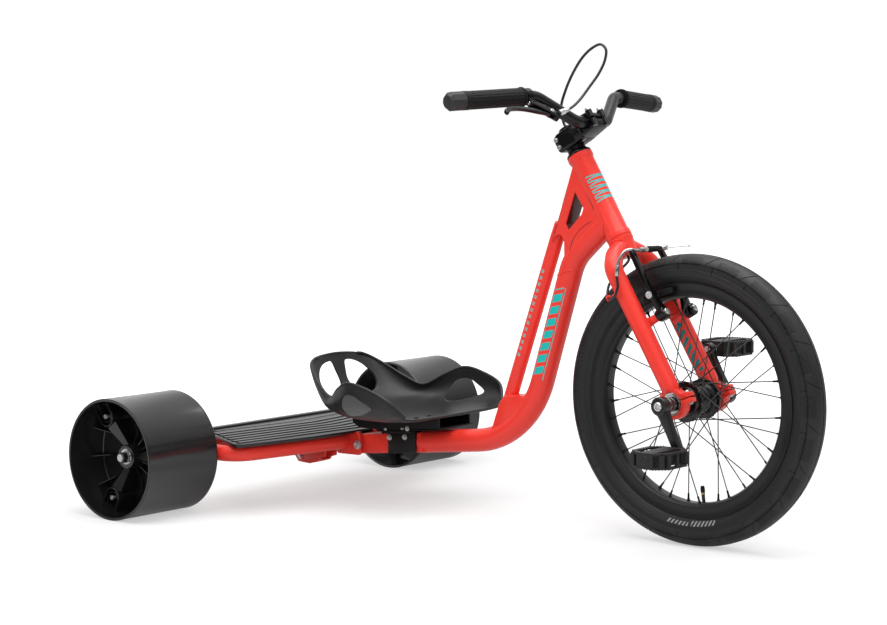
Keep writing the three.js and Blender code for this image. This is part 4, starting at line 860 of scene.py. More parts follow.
for side, way in SIDES:
    axis = SIDEWAYS * way
    body = "rear_wheel_" + side
    built("drum_" + side, drum_shapes(axis), gloss_black, body, ["rear_drum_" + side],
        40)
    bolts = []
    for degrees in SPOKE_ANGLES:
        boss = AXLE + outward(math.radians(degrees)) * BOLT_CIRCLE / 1000
        bolts += socket_bolt(boss + axis * 0.4475, axis, 4.6, 3.5)
        bolts.append(rod(boss + axis * 0.405, boss + axis * 0.4476, 3, 16))
    built("drum_bolts_" + side, bolts, zinc, body)
    race = turned([(7.8, 436), (10.5, 436), (10.5, 445), (11.2, 445.7), (13.3, 445.7), (13.8, 445),
        (16, 445.7), (16, 436)], AXLE, axis, 40)
    built("drum_bearing_" + side, [race], bearing_steel, body, ["rear_bearing_outer_" + side])
    nut = hoop([(7, 448), (10.8, 448), (10.8, 455.6), (9.8, 457.2), (7, 457.2)], AXLE, axis, 6)
    built("axle_nut_body_" + side, [nut], gloss_black, "frame")
    end_ring = turned([(0, 460.6), (5, 460.6), (5.4, 461.2), (7.2, 461.2), (7.6, 460.4), (7.6, 457.4),
        (0, 457.4)], AXLE, axis, 32)
    collar = hoop([(7.8, 445.9), (10.2, 445.9), (10.2, 447.6), (7.8, 447.6)], AXLE, axis, 32)
    built("axle_nut_set_" + side, [end_ring, collar], zinc, "frame", ["axle_nut_" + side])

# Seat clamp and carriage: a folded saddle round the square tail with a rail on top, and the channel
# under the shell that slides along it. Both are powder-coated steel held by zinc bolts.
coat_black = worn("powder_black", grey(0.0042, 0.00448), grey(0.00616, 0.00672), 0.42, 1100, 0.00006,
    {"Specular IOR Level": 0.3})


def tube_middle(x):
    """The height of the square tail's centre line at x, in millimetres."""
    return 114 + math.tan(TAIL_SLOPE) * (x - 230)


def along_tail(start, end, low, high):
    """A slanted band in the side view, measured up from the square tail's centre line."""
    return [(start, tube_middle(start) + low), (end, tube_middle(end) + low),
        (end, tube_middle(end) + high), (start, tube_middle(start) + high)]


cheek = side_plate([along_tail(300, 372, -20, 25)], 20.7, 25.7, 1.2)
saddle_top = side_plate([along_tail(300, 372, 21, 25)], -25.5, 25.5, 1)
clamp_rail = side_plate([along_tail(296, 372, 21.2, 26)], -40, 40, 1.2)
built("clamp_saddle", [saddle_top, clamp_rail] + both_sides([cheek]), coat_black, "frame",
    ["seat_clamp"])
clamp_bolts = []
for x in (305, 345):
    clamp_bolts += hex_bolt(at(x, 25.8, tube_middle(x) + 12), SIDEWAYS, 4.6, 4.2)
built("clamp_bolts", both_sides(clamp_bolts), zinc, "frame")

SHELL_WALL = 4
SEAT_LIFT = 1.5
# each row gives the centre line's x and z and the rim's x, y and z
seat_rows = [(139, 288, 141, 60, 284), (145, 271, 154, 87, 273), (160, 237, 182, 108, 254),
    (182, 208, 216, 123, 233), (214, 188, 254, 138, 218), (270, 176, 295, 160, 241),
    (330, 174, 331, 174, 256), (390, 177, 381, 175, 248), (438, 185, 426, 170, 229),
    (452, 189, 450, 147, 196)]
seat_centre = [Vector((x, 0, z)) for x, z, _, _, _ in seat_rows]
seat_rim = [Vector((x, y, z)) for _, _, x, y, z in seat_rows]
# the back's section is pointed and turns, by BACK_END of the way, into the bucket's flat-floored one
BACK_POWER = 1.35
BUCKET_POWER = 0.62
BACK_END = 0.55


def spline(stops, t):
    """A point at t, from 0 to 1, on the centripetal curve through the stops."""
    place = t * (len(stops) - 1)
    i = min(int(place), len(stops) - 2)
    weight = place - i
    b, c = stops[i], stops[i + 1]
    a = stops[i - 1] if i else b * 2 - c
    d = stops[i + 2] if i + 2 < len(stops) else c * 2 - b
    first, middle, last = [(q - p).length ** 0.5 for p, q in ((a, b), (b, c), (c, d))]
    leave = ((b - a) / first - (c - a) / (first + middle) + (c - b) / middle) * middle
    arrive = ((c - b) / middle - (d - b) / (middle + last) + (d - c) / last) * middle
    return (b + leave * weight + (c * 3 - b * 3 - leave * 2 - arrive) * weight ** 2
        + (b * 2 - c * 2 + leave + arrive) * weight ** 3)


def spline_line(stops, steps):
    return [spline(stops, i / steps) for i in range(steps + 1)]


def seat_point(u, v):
    """A place on the shell: u runs from 0 at the back to 1 in front, v from -1 to 1 across it."""
    centre = spline(seat_centre, u)
    rim = spline(seat_rim, u)
    angle = abs(v) * math.pi / 2
    power = BACK_POWER + (BUCKET_POWER - BACK_POWER) * min(1, u / BACK_END)
    out = math.sin(angle) ** power
    rise = 1 - max(math.cos(angle), 0) ** power
    x = centre.x + (rim.x - centre.x) * rise
    z = centre.z + (rim.z - centre.z) * rise
    return at(x, math.copysign(rim.y * out, v), z + SEAT_LIFT)


def seat_normal(u, v):
    """The way that the shell faces at a place, measured over a small step each way."""
    step = 0.01
    along = seat_point(min(u + step, 1), v) - seat_point(max(u - step, 0), v)
    side = max(-1 + step, min(1 - step, v))
    across = seat_point(u, side + step) - seat_point(u, side - step)
    return along.cross(across).normalized()


SEAT_ROWS = 72
SEAT_COLUMNS = 72


def layered(rows, columns, place):
    """Two sheets of a grid joined round their rim; place(depth, i, j) gives each corner, depth 0 or 1."""
    wide = columns + 1
    layer = (rows + 1) * wide
    verts = [place(depth, i, j) for depth in (0, 1) for i in range(rows + 1) for j in range(wide)]
    faces = []
    for i in range(rows):
        for j in range(columns):
            a = i * wide + j
            faces.append((a, a + wide, a + wide + 1, a + 1))
            faces.append((layer + a, layer + a + 1, layer + a + wide + 1, layer + a + wide))
        for a in (i * wide, i * wide + columns):
            faces.append((a, layer + a, layer + a + wide, a + wide))
    for j in range(columns):
        for a in (j, rows * wide + j):
            faces.append((a, a + 1, layer + a + 1, layer + a))
    return verts, faces


def seat_corner(depth, i, j):
    u = i / SEAT_ROWS
    v = 2 * j / SEAT_COLUMNS - 1
    return seat_point(u, v) - seat_normal(u, v) * (depth * SHELL_WALL / 1000)


def cut_through(shape, cutters, edge, steps=3):
    """The shape with the cutters taken away and the new edges eased."""
    whole = loose("whole", shape)
    tools = [loose("cutter", cutter) for cutter in cutters]
    for tool in tools:
        modifier = whole.modifiers.new("cut", "BOOLEAN")
        modifier.operation = "DIFFERENCE"
        modifier.solver = "EXACT"
        modifier.object = tool
    bpy.context.view_layer.update()
    data = bpy.data.meshes.new_from_object(whole.evaluated_get(bpy.context.evaluated_depsgraph_get()))
    for helper in tools + [whole]:
        bpy.data.objects.remove(helper)
    mesh = bmesh.new()
    mesh.from_mesh(data)
    bmesh.ops.remove_doubles(mesh, verts=mesh.verts, dist=0.00002)
    sharp = [e for e in mesh.edges if e.is_manifold and e.calc_face_angle(0) > math.radians(55)]
    bmesh.ops.bevel(mesh, geom=sharp, offset=edge / 1000, segments=steps, profile=0.5, affect="EDGES",
        clamp_overlap=True)
    return taken(mesh)


back_hole = [(19, 272), (34, 273), (50, 269), (63, 262), (74, 251), (81, 238), (80, 225), (72, 214),
    (57, 207), (38, 206), (20, 214), (11, 234), (14, 256)]
wing_hole = [(312, 225), (330, 234), (348, 233), (364, 226), (389, 211), (368, 200), (340, 192),
    (310, 189), (299, 200)]
back_outline = curved([Vector(point) for point in back_hole], 6, closed=True)
back_cutter = plate([back_outline], at(0, 0, SEAT_LIFT), SIDEWAYS, UPWARD, 100, 212)
wing_outline = curved([Vector((x, z + SEAT_LIFT)) for x, z in wing_hole], 6, closed=True)
wing_cutter = side_plate([wing_outline], 100, 230)
seat_sheets = layered(SEAT_ROWS, SEAT_COLUMNS, seat_corner)
seat_body = cut_through(seat_sheets, both_sides([back_cutter, wing_cutter]), 1.2)
rim_line = [(i / SEAT_ROWS, -1) for i in range(SEAT_ROWS + 1)]
rim_line += [(1, -1 + 2 * j / 40) for j in range(1, 41)]
rim_line += [(1 - i / SEAT_ROWS, 1) for i in range(1, SEAT_ROWS + 1)]
rim_line += [(0, 1 - 2 * j / 40) for j in range(1, 40)]
rim_bead = [seat_point(u, v) - seat_normal(u, v) * (SHELL_WALL / 2000) for u, v in rim_line]
bead = swept(rim_bead, circle(3.1, 12), UPWARD, loop=True)
seat_plastic = worn("seat_plastic", grey(0.0132, 0.0136), grey(0.0167, 0.0172), 0.38, 1500, 0.00010,
    {"Specular IOR Level": 0.45})
built("bucket_shell", [seat_body, bead], seat_plastic, "seat", ["seat_shell"], 50)
seat_screws = []
for u in (0.60, 0.74):
    for v in (0.018, -0.018):
        under_screw = seat_point(u, v) + seat_normal(u, v) * 0.0004
        seat_screws += socket_bolt(under_screw, seat_normal(u, v), 4.5, 1.6)
built("seat_screws", seat_screws, coat_black, "seat")


def shell_under(x):
    """The height, in millimetres, just under the shell's middle at x, found by halving."""
    low, high = 0.4, 1.0
    while high - low > 0.001:
        middle = (low + high) / 2
        if (seat_point(middle, 0).x * 1000 + ORIGIN_AHEAD_OF_AXLE) < x:
            low = middle
        else:
            high = middle
    return seat_point(low, 0).z * 1000 - SHELL_WALL - 0.6


CARRIAGE_START = 292
CARRIAGE_END = 458
wall_outline = [(226, 161), (243, 151), (288, 151), (299, tube_middle(299) + 26.3),
    (CARRIAGE_END - 6, tube_middle(CARRIAGE_END - 6) + 26.3)]
wall_outline += [(x, shell_under(x)) for x in (CARRIAGE_END - 6, 430, 400, 360, 320, 290, 260, 228)]
wall = side_plate([wall_outline], 44, 48, 0.7, 1)
channel = side_plate([along_tail(CARRIAGE_START, CARRIAGE_END, 26.3, 30)], -48, 48, 1)
built("carriage_channel", [channel] + both_sides([wall]), coat_black, "seat",
    ["seat_carriage"])
carriage_bolts = []
for x, radius in ((315, 2.4), (359, 2.2), (371, 4.2)):
    carriage_bolts += hex_bolt(at(x, 48.1, tube_middle(x) + 31), SIDEWAYS, radius, 3.4)
built("carriage_bolts", both_sides(carriage_bolts), zinc, "seat")

# Fork: hollow steerer, unicrown legs, split dropout rings and brake bosses brazed into one piece, in
# the frame's red. Each dropout is pinched round its bearing by a small bolt.
fork_paint, fork_red = sprayed("fork_enamel")
down = along_line(fork_paint, HEAD_BOTTOM, -UP_HEAD)
ahead = along_line(fork_paint, HEAD_BOTTOM, AHEAD)
aside = absolute(along_line(fork_paint, HEAD_BOTTOM, SIDEWAYS))
leg_slant = fract((down + 0.7 * ahead) / 0.015)
leg_marks = within(leg_slant, 0.2, 0.75, 0.03) * within(down, 0.176, 0.276)
leg_marks = leg_marks * within(ahead, -0.0075, 0.0085) * (1 - fork_paint.ramp(aside, 0.0515, 0.0520))
fork_paint.drive("Base Color", fork_paint.two_colours(leg_marks, fork_red, (0.0, 0.20, 0.20, 1)))
LEG_RADIUS = 16.5
LEG_SIDE = 63
FRONT_AXLE = at(1005, 0, 260)
leg_line = rounded([on_fork(14, 2, 0), on_fork(33, 40, 0), on_fork(58, LEG_SIDE, 0),
    on_fork(290, LEG_SIDE, 0)], [30, 34], 10)
leg_line += [on_fork(296, LEG_SIDE, -0.3), on_fork(301, LEG_SIDE, -0.8), on_fork(304.5, LEG_SIDE, -1.2)]
leg_sizes = [1] * (len(leg_line) - 3) + [0.985, 0.93, 0.84]
leg = swept(leg_line, circle(LEG_RADIUS, 36), SIDEWAYS, leg_sizes)
EAR_ANGLE = 0.42
ear_ahead = outward(EAR_ANGLE)
ear_up = outward(EAR_ANGLE + math.pi / 2)
EYE_RADIUS = 27.5
EYE_BORE = 20.4
SLIT = 1.1
SLIT_TURN = 3.1513
EAR_TURN = 24.0642
eye = arc((0, 0), EYE_BORE, SLIT_TURN, 360 - SLIT_TURN, 44)
eye += [(39, -SLIT), (40, -2), (40, -8.5), (38.5, -9.8), (27.5, -10.5)]
eye += arc((0, 0), EYE_RADIUS, -EAR_TURN, EAR_TURN - 360, 40)
eye += [(27.5, 10.5), (38.5, 9.8), (40, 8.5), (40, 2), (39, SLIT)]
dropout = plate([eye], FRONT_AXLE, ear_ahead, ear_up, -74, -54, 0.9)
crown = turned([(0, 0.3), (22.8, 0.3), (23.6, 1.1), (23.6, 6.8), (22.6, 9.5), (21.2, 17), (20.8, 32),
    (18, 35.5), (0, 36.2)], HEAD_BOTTOM, -UP_HEAD, 56)
steerer = hoop([(11, -8), (14.3, -8), (14.3, 229), (11, 229)], HEAD_BOTTOM, UP_HEAD, 40)
BOSS_DOWN = 173
BOSS_SIDE = 44
boss_axis = (on_fork(BOSS_DOWN, BOSS_SIDE, 30) - on_fork(BOSS_DOWN, 47, 0)).normalized()
boss = turned([(0, 0), (10, 0), (9.2, 6), (7.8, 16), (7.4, 28.5), (6.8, 30), (0, 30)],
    on_fork(BOSS_DOWN, 47, 0), boss_axis, 32)
tab = plate([[(-26, -3), (-12, -6), (-12, 6), (-26, 3)]], on_fork(102, -70, 0), AHEAD, SIDEWAYS, -1.5,
    1.5, 0.6)
guide_place = on_fork(102, -73, -29)
guide = hoop([(2.8, -4), (4.8, -4), (4.8, 4), (2.8, 4)], guide_place,
    Vector((0.62, -0.72, -0.20)).normalized(), 20)
built("fork_welding", [crown, steerer, tab, guide] + both_sides([leg, dropout, boss]), fork_paint,
    "steering", ["fork"])
leg_seam = traced(on_fork(27, 36, 0), on_fork(14, 0, 0) - on_fork(27, 36, 0), LEG_RADIUS, crown)
eye_seam = traced(on_fork(262, LEG_SIDE, 0), -UP_HEAD, LEG_RADIUS * 0.97, dropout)
seams = [leg_seam, eye_seam]
seams += [[flipped(point) for point in seam] for seam in seams]
grown("fork_weld_beads", bead_tree, line_mesh(seams), {"Pitch": 0.0017, "Bead": (0.0013, 0.0017, 0.0010)},
    fork_paint, "steering")
ear_middle = FRONT_AXLE + ear_ahead * 0.0335 + SIDEWAYS * 0.064
ear_bolts = socket_bolt(ear_middle + ear_up * 0.0094, ear_up, 4.4, 3.6)
ear_bolts += hex_bolt(ear_middle - ear_up * 0.0094, -ear_up, 4.2, 3)
built("dropout_bolts", both_sides(ear_bolts), zinc, "steering")
for side, way in SIDES:
    race = hoop([(9.8, 60), (12.5, 60), (12.5, 71.2), (13.2, 71.9), (16.4, 71.9), (17, 71.2), (20, 71.9),
        (20, 60)], FRONT_AXLE, SIDEWAYS * way, 48)
    built("dropout_race_" + side, [race], bearing_steel, "steering", ["dropout_bearing_" + side])

# Headset and stem: an anodised cover and spacer, then a forged clamp with its cap, all polished black.
# Four long bolts pull the cap down on the bar and two pinch the steerer from behind.
polished_black = worn("polished_black", grey(0.0022, 0.0024), grey(0.0036, 0.004), 0.16, 500, 0.00004,
    {"Specular IOR Level": 0.25, "Coat Weight": 0.25, "Coat Roughness": 0.05})
cover = hoop([(14.7, 0.4), (23, 0.4), (23.5, 0.9), (23.5, 3), (22.5, 4.5), (19.6, 6.8), (18.4, 8.6),
    (17.8, 9), (14.7, 9)], HEAD_TOP, UP_HEAD, 56)
built("headset_dust_cover", [cover], polished_black, "steering", ["headset_cover"])
spacer = hoop([(14.7, 9.3), (17.1, 9.3), (17.5, 9.7), (17.5, 12.2), (16.9, 12.6), (17.5, 13),
    (17.5, 15.6), (17.1, 16), (14.7, 16)], HEAD_TOP, UP_HEAD, 48)
built("headset_spacer_ring", [spacer], polished_black, "steering", ["headset_spacer"])


def stem_plate(outline, low, high, edge, steps=3):
    """An outline of (ahead, up) millimetres from the head tube's top, as wide as low to high."""
    return plate([outline], HEAD_TOP, AHEAD, UP_HEAD, -high, -low, edge, steps)


BAR_SEAT = (54, 38)
body_outline = [(-24, 22), (-21, 17.5), (-14, 16.3), (34, 16.3), (34, 52), (-14, 52), (-21, 49),
    (-24, 44)]
clamp_halves = [stem_plate(body_outline, 1, 21, 2.2), stem_plate(body_outline, -21, -1, 2.2)]
neck = stem_plate([(4, 17), (36, 17), (36, 50), (4, 50)], -20, 20, 2)
cradle_outline = [(20, 16.3), (64, 19.3), (70, 23), (71.5, 27), (71.5, 35.4)] + arc(BAR_SEAT, 11.4, -12,
    -168)
cradle_outline += [(34, 35.4), (20, 35.4)]
cradle = stem_plate(cradle_outline, -22.5, 22.5, 1.6)
under_rib = stem_plate([(24, 16.6), (64, 19.6), (70, 23), (30, 23)], 12, 15, 0.8, 2)
side_panel = stem_plate([(-16, 24), (10, 20), (26, 20), (26, 34), (8, 45), (-16, 45)], 20.6, 21.5, 0.4, 1)
cap_outline = [(35.5, 39.4)] + arc(BAR_SEAT, 11.4, 170, 10) + [(71.5, 39.4), (71.5, 45), (70, 48),
    (65, 51.5), (54, 53), (44, 52), (37, 49), (35.5, 46)]
cap_bridge = stem_plate(cap_outline, -22.5, 22.5, 1.6)
BOLT_SPOTS = ((39.5, 18), (69.5, 18), (39.5, -18), (69.5, -18))
posts = []
sockets = []
for spot in BOLT_SPOTS:
    posts.append(rod(on_head(*spot, 39), on_head(*spot, 53.4), 6.4, 28, 0.6))
    sockets.append(rod(on_head(*spot, 21.5), on_head(*spot, 35.6), 6.4, 28, 0.6))
built("stem_forging", clamp_halves + [neck, cradle] + sockets + both_sides([under_rib, side_panel]),
    polished_black, "steering", ["stem"])
built("stem_bridge", [cap_bridge] + posts, polished_black, "steering", ["stem_cap"])
chrome = worn("chrome_bolts", grey(0.72, 0.71), grey(0.80), 0.24, 1200, 0.00002, {"Metallic": 0.85})
stem_bolts = []
for spot in BOLT_SPOTS:
    stem_bolts += socket_bolt(on_head(*spot, 53.5), UP_HEAD, 5.2, 4.6)
for pinch_up in (27, 42):
    stem_bolts += socket_bolt(on_head(-17.5, -21.2, pinch_up), -SIDEWAYS, 4.4, 4)
    stem_bolts += hex_bolt(on_head(-17.5, 21.2, pinch_up), SIDEWAYS, 4.2, 3)
built("stem_bolts", stem_bolts, chrome, "steering")
top_cap = hoop([(4, 54.5), (15, 54.5), (16, 55.2), (16, 56.6), (14.6, 58), (9, 59), (5, 59), (4, 58.2)],
    HEAD_TOP, UP_HEAD, 40)
built("steerer_top_cap", [top_cap], polished_black, "steering", ["steerer_cap"])

# Handlebar, grips and end plugs: a bent alloy bar in satin black, ribbed rubber grips pushed over its
# ends and a hard faceted plug in each.
satin_black = worn("satin_bar", grey(0.006, 0.0066), grey(0.0084, 0.009), 0.34, 1300, 0.00003,
    {"Metallic": 0.35, "Coat Weight": 0.15})
BAR_BEND = at(743.5, 121, 798.5)
BAR_END = at(705, 311, 788)
BAR_RADIUS = 11.1
bar_run = (BAR_END - BAR_BEND).normalized()
bar_middle = on_head(BAR_SEAT[0], 0, BAR_SEAT[1])
bar_corner = Vector((bar_middle.x, 0.045, bar_middle.z))
bar_line = rounded([flipped(BAR_END), flipped(BAR_BEND), flipped(bar_corner), bar_corner, BAR_BEND,
    BAR_END], [44, 34, 34, 44], 14)
built("handlebar_tube", [swept(bar_line, circle(BAR_RADIUS, 36), UPWARD)], satin_black, "steering",
    ["handlebar"])
grip_rubber = worn("grip_rubber", grey(0.0036, 0.00378), grey(0.0054, 0.00558), 0.60, 1600, 0.00012,
    {"Specular IOR Level": 0.3})
plug_plastic = worn("plug_plastic", grey(0.016, 0.0168), grey(0.0224, 0.0232), 0.45, 1300, 0.00006)
GRIP_RIBS = 18
GRIP_LENGTH = 136
ribbed = []
for i in range(GRIP_RIBS * 4):
    angle = 2 * math.pi * i / (GRIP_RIBS * 4)
    radius = 16.5 if i % 4 < 3 else 15.8
    ribbed.append((radius * math.cos(angle), radius * math.sin(angle)))
grip_start = BAR_BEND + bar_run * 0.031


def grip_place(distance, way):
    """A place so many millimetres along the grip of one side."""
    point = grip_start + bar_run * distance / 1000
    return point if way > 0 else flipped(point)


plug_end = (BAR_END - grip_start).length * 1000 + 5
for side, way in SIDES:
    axis = (grip_place(10, way) - grip_place(0, way)).normalized()
    sleeve = swept([grip_place(3.5, way), grip_place(GRIP_LENGTH, way)], ribbed, UPWARD)
    flange = hoop([(11.4, 0), (17.4, 0), (18, 0.6), (18, 2.6), (17.2, 3.6), (11.4, 4)],
        grip_place(0, way), axis, 48)
    end_band = hoop([(11.4, GRIP_LENGTH - 12), (16.6, GRIP_LENGTH - 12), (16.9, GRIP_LENGTH - 11.2),
        (16.9, GRIP_LENGTH), (11.4, GRIP_LENGTH)], grip_place(0, way), axis, 48)
    built("grip_sleeve_" + side, [sleeve, flange, end_band], grip_rubber, "steering",
        ["grip_" + side])
    plug = turned([(0, GRIP_LENGTH + 0.3), (17, GRIP_LENGTH + 0.3), (17.1, plug_end - 5),
        (12, plug_end + 1.6), (0, plug_end + 2)], grip_place(0, way), axis, 10)
    built("bar_end_" + side, [plug], plug_plastic, "steering", ["bar_plug_" + side], 20)

# Brake lever: a cast perch clamped on the bar's right side and a curved blade on one pin. The barrel
# adjuster in its nose holds the cable's end.
LEVER_PIVOT = at(768, -108, 768)
to_lever = Vector((1, 0, -1)).normalized()
lever_axis = Vector((-1, 0, -1)).normalized()
clamp_middle = flipped(BAR_BEND + bar_run * 0.021)
clamp_axis = flipped(bar_run)


def lever_plate(outline, low, high, edge, steps=3):
    """An outline of millimetres along +Y and towards the lever, from the perch's clamp."""
    return plate([outline], clamp_middle, SIDEWAYS, to_lever, low, high, edge, steps)


perch_outline = [(-7, 10), (-6, 22), (10, 33), (26, 44), (38, 54), (46, 54), (50, 44), (46, 31), (33, 22),
    (20, 14), (8, 10)]
perch_nose = lever_plate([(36, 40), (42, 33), (48, 42), (48, 54), (42, 58), (36, 55)], -6.4, 6.4, 2)
perch_wings = [lever_plate(perch_outline, low, low + 2.8, 0.8, 2) for low in (3.7, -6.5)]
perch_root = lever_plate([(-7, 10), (-6, 21), (8, 21.5), (20, 26), (34, 31), (46, 35), (46, 31), (33, 22),
    (20, 14), (8, 10)], -6.5, 6.5, 1.2, 2)
perch_band = hoop([(11.8, -6), (15, -6), (15.5, -5.5), (15.5, 5.5), (15, 6), (11.8, 6)], clamp_middle,
    clamp_axis, 40)
built("perch_casting", perch_wings + [perch_nose, perch_root, perch_band], polished_black, "steering",
    ["lever_perch"])
blade_outline = [(40, 36.4), (12, 33.8), (-18, 29.2), (-38, 27), (-53, 26.2), (-68, 26.6), (-80, 28.4),
    (-90, 33), (-95, 38), (-95.4, 42), (-93, 44.8), (-90, 45), (-87, 42.6), (-82, 38.6), (-72, 35.6),
    (-53, 34.4), (-36, 35.6), (-18, 38.6), (-2, 42), (12, 44.4), (30, 47), (38, 46), (41, 41)]
blade = lever_plate(blade_outline, -3.1, 3.1, 1.6)
built("lever_blade", [blade], polished_black, "brake_lever", ["brake_lever"])
pin_parts = [rod(LEVER_PIVOT - lever_axis * 0.0066, LEVER_PIVOT + lever_axis * 0.0066, 2.4, 16)]
for way in (lever_axis, -lever_axis):
    pin_parts += socket_bolt(LEVER_PIVOT + way * 0.0065, way, 4.2, 2)
pin_parts += socket_bolt(clamp_middle + to_lever * 0.0150 + SIDEWAYS * -0.004, to_lever, 4, 3.6)
built("lever_pin_set", pin_parts, chrome, "steering", ["lever_pin"])
adjuster_start = at(780, -95.5, 768.5)
adjuster_end = at(786, -77, 775)
adjuster_axis = (adjuster_end - adjuster_start).normalized()
knurled = [(0, 0), (5.2, 0), (5.6, 0.6)]
for i in range(5):
    knurled += [(5.6, 1.2 + i * 1.6), (5.1, 1.8 + i * 1.6), (5.6, 2.4 + i * 1.6)]
knurled += [(5.6, 10), (4.4, 11.5), (4.2, 19.5), (3.6, 20.4), (0, 20.4)]
built("barrel_adjuster", [turned(knurled, adjuster_start, adjuster_axis, 24)], chrome, "steering",
    ["cable_adjuster"])

# Brake cable: one length of plastic-coated housing that loops over the bar, runs down the hollow
# steerer and round the right fork leg to the guide tube.
jacket = worn("cable_jacket", grey(0.008), grey(0.012), 0.30, 900, 0.00003,
    {"Coat Weight": 0.3, "Coat Roughness": 0.15})
cable_stops = [adjuster_end + adjuster_axis * 0.0009, at(787, -62, 782), at(788, -44, 794),
    at(794, -26, 815), at(804, -10, 840), at(810, 0, 864), at(809, 4, 883), at(798, 4, 892),
    at(780, 4, 887), at(757, 4, 870), at(736, 3, 842), at(721, 1, 812), at(711, 0, 780),
    on_head(0, 0, 72), on_head(0, 0, 50), on_head(0, 0, 0), on_head(0, 0, -60), on_head(0, 0, -120),
    on_fork(0, 0, 0), on_fork(34, 0, 0), on_fork(44, -3, -1), at(862, -16, 492), at(857, -32, 479),
    at(855, -50, 461), at(861, -63, 446), guide_place, at(884, -84, 439.5), at(896, -88, 448),
    at(900, -87, 461), at(898, -85, 473), at(896, -84, 480)]
cable_line = spline_line(cable_stops, 230)
built("cable_housing", [swept(cable_line, circle(2.5, 12), UPWARD)], jacket, "steering",
    ["brake_cable"])

# Front brake: two cast arms on the fork's bosses with their pads, pulled together by the inner wire
# that leaves a bent steel guide tube under a rubber boot.
WIRE_LINE = on_fork(50, 0, 50.5)
PAD_DOWN = 133
PAD_AHEAD = 38


def arm_outline(way):
    left = [(-12, 7), (-12, -4), (-8, -10), (0, -12), (8, -10), (12, -4), (12.5, 8), (14, 24), (15, 40),
        (15.6, 56), (15, 72), (13.6, 96), (12, 118), (11.4, 127), (9.5, 130), (3, 130), (1, 127),
        (1.4, 114), (3, 96), (3.8, 72), (3.4, 56), (2, 40), (-2, 26), (-7, 16)]
    return [(way * (BOSS_SIDE + out - 6), up) for out, up in left]


pad_rubber = worn("pad_rubber", grey(0.006), grey(0.009), 0.7, 1200, 0.0001, {"Specular IOR Level": 0.3})
for side, way in SIDES:
    body = "brake_arm_" + side
    pivot = on_fork(BOSS_DOWN, 0, 0)
    arm = plate([arm_outline(way)], pivot, SIDEWAYS, UP_HEAD, 34.5, 44, 3.2, 4)
    hub = hoop([(4.5, 31), (10.5, 31), (11.5, 32), (11.5, 47.8), (10.5, 49.2), (4.5, 49.2)],
        on_fork(BOSS_DOWN, BOSS_SIDE * way, 0), AHEAD, 36)
    stud_ring = rod(on_fork(PAD_DOWN, 36 * way, PAD_AHEAD), on_fork(PAD_DOWN, 54 * way, PAD_AHEAD), 6.8,
        24, 0.8)
    built("arm_casting_" + side, [arm, hub, stud_ring], polished_black, body,
        ["brake_arm_" + side])
    fixings = socket_bolt(on_fork(BOSS_DOWN, BOSS_SIDE * way, 49.3), AHEAD, 6.2, 4)
    fixings += hex_bolt(on_fork(PAD_DOWN, 54.2 * way, PAD_AHEAD), SIDEWAYS * way, 5.4, 4.4)
    spring = []
    for down, out, ahead in ((-4, 7, 29.5), (-30, 8, 30), (-66, 6, 31.5), (-78, 2, 33.6)):
        spring.append(on_fork(BOSS_DOWN + down, (BOSS_SIDE + out) * way, ahead))
    built("arm_fixings_" + side, fixings, chrome, body)
    spring_wire = swept(spline_line(spring, 20), circle(0.8, 8), UPWARD)
    built("arm_spring_" + side, [spring_wire], satin_black, body)
    pad_middle = on_fork(PAD_DOWN, 24.3 * way, PAD_AHEAD)
    to_rim = (Vector((pad_middle.x, 0, pad_middle.z)) - FRONT_AXLE).normalized()
    along_rim = Vector((to_rim.z, 0, -to_rim.x))
    block = []
    for s in (-1, -0.94, -0.5, 0, 0.5, 0.94, 1):
        block.append(pad_middle + along_rim * (0.032 * s) - to_rim * (0.0016 * (s * s - 0.3)))
    pad = swept(block, soft_box(5, 3.6, 1.4), to_rim, [0.8, 1, 1, 1, 1, 1, 0.8])
    shank = rod(pad_middle + SIDEWAYS * (0.003 * way), pad_middle + SIDEWAYS * (0.0115 * way), 5, 24, 0.4)
    built("pad_" + side, [pad, shank], pad_rubber, body, ["brake_pad_" + side])

noodle_stops = [at(896.2, -83.9, 480.6), at(897, -83, 500), at(900, -79, 514), at(905, -70, 525)]
noodle_stops += [WIRE_LINE - SIDEWAYS * 0.061 + UPWARD * 0.002]
noodle_stops += [WIRE_LINE - SIDEWAYS * 0.050, WIRE_LINE - SIDEWAYS * 0.020]
noodle = swept(spline_line(noodle_stops, 48), circle(2.6, 16), UPWARD)
ferrule = turned([(0, 0), (3.4, 0), (3.7, 0.6), (3.7, 18.5), (3, 19.6), (0, 19.6)], noodle_stops[0],
    (noodle_stops[1] - noodle_stops[0]).normalized(), 24)
carrier = hoop([(2.6, -36), (4.2, -36), (4.6, -35.2), (4.6, -13), (4.2, -12), (2.6, -12)], WIRE_LINE,
    SIDEWAYS, 24)
built("guide_tube", [noodle, ferrule, carrier], bearing_steel, "brake_arm_right",
    ["brake_noodle"])
bellows = [(3, -11.5), (5.4, -11.5)]
for i in range(7):
    bellows += [(6 - 0.1 * i, -9.5 + i * 5.2), (5 - 0.1 * i, -6.8 + i * 5.2)]
bellows += [(4.4, 29), (3, 29), (3, -11.5)]
built("wire_boot", [turned(bellows, WIRE_LINE, SIDEWAYS, 28)], grip_rubber, "brake_arm_right",
    ["noodle_boot"])
wire = rod(WIRE_LINE + SIDEWAYS * -0.009, WIRE_LINE + SIDEWAYS * 0.125, 0.9, 10)
crimp = rod(WIRE_LINE + SIDEWAYS * 0.119, WIRE_LINE + SIDEWAYS * 0.1255, 1.4, 12)
anchor = hex_bolt(WIRE_LINE + SIDEWAYS * 0.0455 + UP_HEAD * 0.001, AHEAD, 4.8, 4.6)
